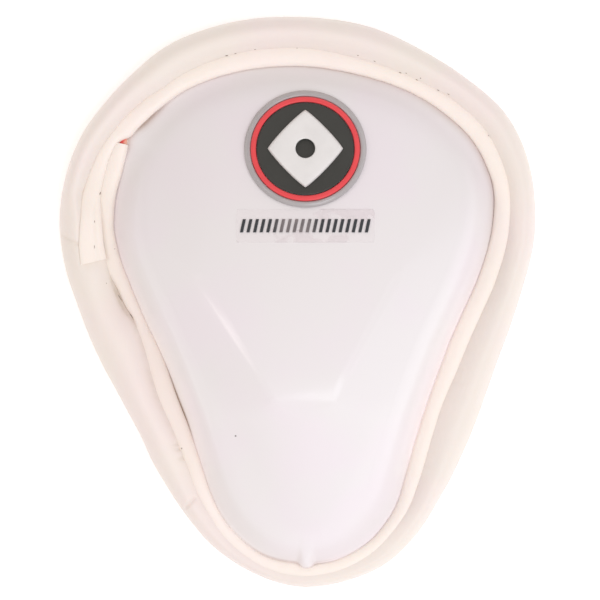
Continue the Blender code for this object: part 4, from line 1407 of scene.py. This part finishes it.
def soft_pvc(name, colour, roughness, grain):
    """Soft PVC as moulded: satin, with a fine sparked grain and faint flow marks."""
    material, tree, shader, where = start_material(name, colour, roughness)
    flow = add_node(tree, "ShaderNodeTexNoise", {"Vector": where, "Scale": 1 / FLOW_MARKS, "Detail": 2.0})
    paler = tuple(min(1.0, part * PALER + 0.004) for part in linear(colour))
    tint = add_node(tree, "ShaderNodeMix", {0: flow.outputs["Fac"], 6: (*linear(colour), 1), 7: (*paler, 1)},
                    data_type="RGBA")
    tree.links.new(tint.outputs[2], shader.inputs["Base Color"])
    spark = add_node(tree, "ShaderNodeTexNoise", {"Vector": where, "Scale": 1 / SPARK_GRAIN, "Detail": 2.0})
    bump = add_node(tree, "ShaderNodeBump", {"Height": spark.outputs["Fac"], "Strength": grain,
                                             "Distance": 0.0001})
    tree.links.new(bump.outputs[0], shader.inputs["Normal"])
    return material, shader


def make_badge():
    """The four mouldings of the badge, each its own piece over its own solid."""
    ring_width = BADGE_WIDTH - 2 * BEZEL_BAND - 2 * CLEARANCE
    ring_height = BADGE_HEIGHT - 2 * BEZEL_BAND - 2 * CLEARANCE
    field_width = ring_width - 2 * RING_BAND - 2 * CLEARANCE
    field_height = ring_height - 2 * RING_BAND - 2 * CLEARANCE
    top = CLEARANCE + BADGE_THICKNESS
    bezel_profile = ((0.0, CLEARANCE), (0.0, 0.0005), (0.12, 0.0008), (0.55, top - 0.0001), (0.72, top),
                     (0.90, top - 0.0001), (1.1, top - 0.0006), (1.15, CLEARANCE))
    bezel_rings = band_rings(BADGE_WIDTH, BADGE_HEIGHT, BEZEL_BAND, bezel_profile)
    bezel = moulded_on_cup("badge_bezel_clear", bezel_rings, False)
    material, shader = soft_pvc("clear_soft_pvc", BEZEL_CLEAR, 0.18, 0.03)
    shader.inputs["Transmission Weight"].default_value = 0.25
    bezel.data.materials.append(material)
    ring_profile = ((-0.05, CLEARANCE), (-0.05, top - 0.0006), (0.0, top - 0.0002), (0.15, top),
                    (0.80, top), (1.0, top - 0.0002), (1.1, top - 0.0006), (1.15, CLEARANCE))
    ring_rings = band_rings(ring_width, ring_height, RING_BAND, ring_profile)
    ring = moulded_on_cup("badge_rim_red", ring_rings, False)
    ring.data.materials.append(soft_pvc("red_soft_pvc", BADGE_RED, 0.42, 0.06)[0])
    field_rings = [(outline(field_width * share, field_height * share), CLEARANCE)
                   for share in (0.33, 0.66, 1.0)]
    field_rings += [(outline(field_width * share, field_height * share), top - FIELD_DROP)
                    for share in (1.0, 0.97, 0.85, 0.7, 0.55, 0.4, 0.25, 0.12)]
    field = moulded_on_cup("badge_field_black", field_rings, True)
    field.data.materials.append(soft_pvc("black_soft_pvc", BADGE_BLACK, 0.55, 0.12)[0])
    base = top - FIELD_DROP
    crest = top + CLEARANCE + EMBLEM_THICKNESS
    slope = EMBLEM_SLOPE
    shoulder = 1.3 * EMBLEM_SLOPE
    hole = EMBLEM_HOLE
    emblem_rings = [
        (outline(EMBLEM_WIDTH, EMBLEM_HEIGHT, EMBLEM_ROUNDING), base),
        (outline(EMBLEM_WIDTH, EMBLEM_HEIGHT, EMBLEM_ROUNDING), base + 0.0003),
        (outline(EMBLEM_WIDTH - slope, EMBLEM_HEIGHT - slope, EMBLEM_ROUNDING), crest - 0.0001),
        (outline(EMBLEM_WIDTH - shoulder, EMBLEM_HEIGHT - shoulder, EMBLEM_ROUNDING), crest),
        (outline(0.75 * EMBLEM_WIDTH, 0.75 * EMBLEM_HEIGHT, EMBLEM_ROUNDING + 0.2), crest),
        (outline(0.5 * EMBLEM_WIDTH, 0.5 * EMBLEM_HEIGHT, 1.6), crest),
        (outline(hole + 0.0008, hole + 0.0008), crest),
        (outline(hole + 0.0003, hole + 0.0003), crest - 0.0001),
        (outline(hole, hole), crest - 0.0004),
        (outline(hole, hole), base),
    ]
    emblem = moulded_on_cup("badge_lozenge_white", emblem_rings, False)
    emblem.data.materials.append(soft_pvc("white_soft_pvc", EMBLEM_WHITE, 0.40, 0.05)[0])
    for piece, node in ((bezel, "badge_bezel"), (ring, "badge_ring"), (field, "badge_field"),
                        (emblem, "badge_emblem")):
        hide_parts(node)
        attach(piece, "root")


make_badge()

# The label
# A clear film glued under the badge, with a row of slanted dark bars printed on it. The
# middle of the print is worn grey, and a fold of air under the film shows as a pale patch.
LABEL_GAP = 0.0004
LABEL_WIDTH = 0.0395
LABEL_HEIGHT = 0.0096
FILM_LIFT = 0.00012
FILM_THICKNESS = 0.00012
FILM_COLUMNS = 60
FILM_ROWS = 14
BAR_COUNT = 20
BAR_PITCH = 0.00187
BAR_WIDTH = 0.00088
BAR_HEIGHT = 0.0038
BAR_SLANT = 0.22
BAR_LIFT = 0.00030
PRINT_BLACK = "33363a"
PRINT_WORN = "8c8383"
WORN_MIDDLE = (-0.0005, 0.0065)
WORN_CORE = 0.55
WORN_SHARE = 0.85
SCRATCH_SIZE = 0.0015
FILM_TINT = "f6eef0"
AIR_PATCH = 0.011
DROP_FROM = 0.1
label_centre = badge_centre - np.array([0, BADGE_HEIGHT / 2 + LABEL_GAP + LABEL_HEIGHT / 2])


def make_film():
    """The film as a thin sheet with rounded corners that follows the cup."""
    corners = []
    for rise in (FILM_LIFT, FILM_LIFT + FILM_THICKNESS):
        for j in range(FILM_ROWS + 1):
            up = 2 * j / FILM_ROWS - 1
            trim = 1 - 0.02 * max(0.0, abs(up) - 0.8) / 0.2
            for i in range(FILM_COLUMNS + 1):
                side = (2 * i / FILM_COLUMNS - 1) * trim
                x = label_centre[0] + side * LABEL_WIDTH / 2
                y = label_centre[1] + up * LABEL_HEIGHT / 2
                corners.append((x, y, float(cup_height(x, y)) + rise))
    film = mesh_of("label_film", corners, slab_faces(FILM_COLUMNS + 1, FILM_ROWS + 1))
    face_outward(film)
    return film


def clear_film():
    """Clear polyester film: thin, glossy, nearly unseen but for its edge and an air patch."""
    material, tree, shader, where = start_material("clear_polyester_film", FILM_TINT, 0.16)
    air = add_node(tree, "ShaderNodeTexNoise", {"Vector": where, "Scale": 1 / AIR_PATCH, "Detail": 2.0})
    patch = add_node(tree, "ShaderNodeMapRange",
                     {"Value": air.outputs["Fac"], 1: 0.50, 2: 0.53, 3: 0.06, 4: 0.24})
    tree.links.new(patch.outputs[0], shader.inputs["Alpha"])
    return material


def bar_tree(cup_piece, material):
    """Slanted bars in a row, laid on the cup: each point is dropped onto its face."""
    tree = bpy.data.node_groups.new("printed_bars", "GeometryNodeTree")
    input_socket(tree, "Geometry", "NodeSocketGeometry")
    names = {
        "count": input_socket(tree, "Count", "NodeSocketInt", BAR_COUNT),
        "pitch": input_socket(tree, "Pitch", "NodeSocketFloat", BAR_PITCH),
        "width": input_socket(tree, "Width", "NodeSocketFloat", BAR_WIDTH),
        "height": input_socket(tree, "Height", "NodeSocketFloat", BAR_HEIGHT),
        "slant": input_socket(tree, "Slant", "NodeSocketFloat", BAR_SLANT),
        "lift": input_socket(tree, "Lift", "NodeSocketFloat", BAR_LIFT),
    }
    tree.interface.new_socket("Geometry", in_out="OUTPUT", socket_type="NodeSocketGeometry")
    given = add_node(tree, "NodeGroupInput")
    middle_x, middle_y = (float(part) for part in label_centre)
    bar = add_node(tree, "GeometryNodeMeshGrid",
                   {"Size X": given.outputs["Width"], "Size Y": given.outputs["Height"],
                    "Vertices X": 5, "Vertices Y": 13})
    span = add_node(tree, "ShaderNodeMath", {0: given.outputs["Count"], 1: -1.0}, operation="ADD")
    length = add_node(tree, "ShaderNodeMath", {0: span.outputs[0], 1: given.outputs["Pitch"]},
                      operation="MULTIPLY")
    back = add_node(tree, "ShaderNodeMath", {0: length.outputs[0], 1: -0.5}, operation="MULTIPLY")
    start_x = add_node(tree, "ShaderNodeMath", {0: back.outputs[0], 1: middle_x}, operation="ADD")
    start = add_node(tree, "ShaderNodeCombineXYZ", {"X": start_x.outputs[0], "Y": middle_y})
    step = add_node(tree, "ShaderNodeCombineXYZ", {"X": given.outputs["Pitch"]})
    row = add_node(tree, "GeometryNodeMeshLine",
                   {"Count": given.outputs["Count"], "Start Location": start.outputs[0],
                    "Offset": step.outputs[0]})
    laid = add_node(tree, "GeometryNodeInstanceOnPoints",
                    {"Points": row.outputs[0], "Instance": bar.outputs["Mesh"]})
    real = add_node(tree, "GeometryNodeRealizeInstances", {"Geometry": laid.outputs[0]})
    where = add_node(tree, "GeometryNodeInputPosition").outputs[0]
    parts = add_node(tree, "ShaderNodeSeparateXYZ", {0: where})
    above = add_node(tree, "ShaderNodeMath", {0: parts.outputs["Y"], 1: middle_y}, operation="SUBTRACT")
    lean = add_node(tree, "ShaderNodeMath", {0: above.outputs[0], 1: given.outputs["Slant"]},
                    operation="MULTIPLY")
    over = add_node(tree, "ShaderNodeCombineXYZ", {"X": lean.outputs[0]})
    slanted = add_node(tree, "GeometryNodeSetPosition",
                       {"Geometry": real.outputs[0], "Offset": over.outputs[0]})
    surface = add_node(tree, "GeometryNodeObjectInfo", {"Object": cup_piece})
    high = add_node(tree, "ShaderNodeVectorMath", {0: where, 1: (0, 0, DROP_FROM)}, operation="ADD")
    drop = add_node(tree, "GeometryNodeRaycast", {"Target Geometry": surface.outputs["Geometry"],
                                                  "Source Position": high.outputs[0],
                                                  "Ray Direction": (0, 0, -1), "Ray Length": 2 * DROP_FROM})
    up = add_node(tree, "ShaderNodeCombineXYZ", {"Z": given.outputs["Lift"]})
    resting = add_node(tree, "ShaderNodeVectorMath", {0: drop.outputs["Hit Position"], 1: up.outputs[0]},
                       operation="ADD")
    dropped = add_node(tree, "GeometryNodeSetPosition",
                       {"Geometry": slanted.outputs[0], "Position": resting.outputs[0]})
    painted = add_node(tree, "GeometryNodeSetMaterial",
                       {"Geometry": dropped.outputs[0], "Material": material})
    add_node(tree, "NodeGroupOutput", {"Geometry": painted.outputs[0]})
    return tree, names


def printing_ink():
    """Dark screen-printing ink: matt, and worn to grey in the middle of the row."""
    material, tree, shader, where = start_material("worn_screen_ink", PRINT_BLACK, 0.5)
    parts = add_node(tree, "ShaderNodeSeparateXYZ", {0: where})
    apart = add_node(tree, "ShaderNodeMath", {0: parts.outputs["X"], 1: WORN_MIDDLE[0]},
                     operation="SUBTRACT")
    size = add_node(tree, "ShaderNodeMath", {0: apart.outputs[0]}, operation="ABSOLUTE")
    worn = add_node(tree, "ShaderNodeMapRange", {"Value": size.outputs[0], 1: WORN_MIDDLE[1] * WORN_CORE,
                                                 2: WORN_MIDDLE[1], 3: WORN_SHARE, 4: 0.0})
    scratch = add_node(tree, "ShaderNodeTexNoise",
                       {"Vector": where, "Scale": 1 / SCRATCH_SIZE, "Detail": 3.0})
    uneven = add_node(tree, "ShaderNodeMapRange",
                      {"Value": scratch.outputs["Fac"], 1: 0.3, 2: 0.7, 3: 0.5, 4: 1.0})
    share = add_node(tree, "ShaderNodeMath", {0: worn.outputs[0], 1: uneven.outputs[0]},
                     operation="MULTIPLY")
    colour = add_node(tree, "ShaderNodeMix", {0: share.outputs[0], 6: (*linear(PRINT_BLACK), 1),
                                              7: (*linear(PRINT_WORN), 1)}, data_type="RGBA")
    tree.links.new(colour.outputs[2], shader.inputs["Base Color"])
    return material


film = make_film()
film.data.materials.append(clear_film())
bars, bar_inputs = bar_tree(cup, printing_ink())
row_of_bars = grown(mesh_of("bar_row", [(0, 0, 0)], []), bars, {
    bar_inputs["count"]: BAR_COUNT,
    bar_inputs["pitch"]: BAR_PITCH,
    bar_inputs["width"]: BAR_WIDTH,
    bar_inputs["height"]: BAR_HEIGHT,
    bar_inputs["slant"]: BAR_SLANT,
    bar_inputs["lift"]: BAR_LIFT,
}, "label_bars")
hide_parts("clear_label")
for piece in (film, row_of_bars):
    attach(piece, "root")

# The room
# A plain pale floor under the guard's rim, a big soft light at lower right, as the photo has
# it, weaker ones at the left and in front, and a pale sky. The camera looks straight down.
PHOTO_SIZE = 600
PHOTO_MIDDLE = (297.5, 302.0)
PHOTO_LENGTH = 570.0
GUARD_LENGTH = 0.165
CAMERA_HEIGHT = 1.6
FOCUS_HEIGHT = 0.008
SKY_COLOUR = "fff8f5"
SKY_STRENGTH = 0.675
FLOOR_GLOW = 0.25
LIGHTS = (
    ("key", (0.43, -0.32, 1.00), 0.8, 6.3, "f2f7ff"),
    ("ridge", (-0.92, 0.16, 0.80), 0.30, 1.5, "fff8f2"),
    ("front", (0.05, -0.55, 1.45), 0.36, 0.16, "ffffff"),
)


def add_light(name, place, size, power, colour):
    """A square soft light that looks at the guard."""
    data = bpy.data.lights.new(name, "AREA")
    data.size = size
    data.energy = power
    data.color = linear(colour)
    light = bpy.data.objects.new(name, data)
    light.location = place
    light.rotation_euler = (-light.location).to_track_quat("-Z", "Y").to_euler()
    bpy.context.scene.collection.objects.link(light)


def make_room():
    """The floor, the lights and the camera."""
    bpy.ops.mesh.primitive_plane_add(size=6.0)
    floor = bpy.context.object
    floor.name = "pale_floor"
    material, _, shader, _ = start_material("pale_card", "ffffff", 0.9)
    shader.inputs["Specular IOR Level"].default_value = 0.1
    shader.inputs["Emission Color"].default_value = (1, 1, 1, 1)
    shader.inputs["Emission Strength"].default_value = FLOOR_GLOW
    floor.data.materials.append(material)
    for name, place, size, power, colour in LIGHTS:
        add_light(name, place, size, power, colour)
    world = bpy.data.worlds.new("studio")
    world.use_nodes = True
    sky = world.node_tree.nodes["Background"]
    sky.inputs["Color"].default_value = (*linear(SKY_COLOUR), 1)
    sky.inputs["Strength"].default_value = SKY_STRENGTH
    bpy.context.scene.world = world
    data = bpy.data.cameras.new("camera")
    scale = GUARD_LENGTH / PHOTO_LENGTH
    data.sensor_width = 36.0
    data.lens = data.sensor_width * (CAMERA_HEIGHT - FOCUS_HEIGHT) / (PHOTO_SIZE * scale)
    camera = bpy.data.objects.new("camera", data)
    shift_x = (PHOTO_SIZE / 2 - PHOTO_MIDDLE[0]) * scale
    shift_y = (PHOTO_MIDDLE[1] - PHOTO_SIZE / 2) * scale
    camera.location = (shift_x, shift_y, CAMERA_HEIGHT)
    bpy.context.scene.collection.objects.link(camera)
    bpy.context.scene.camera = camera
    bpy.context.scene.view_settings.view_transform = "Standard"


make_room()
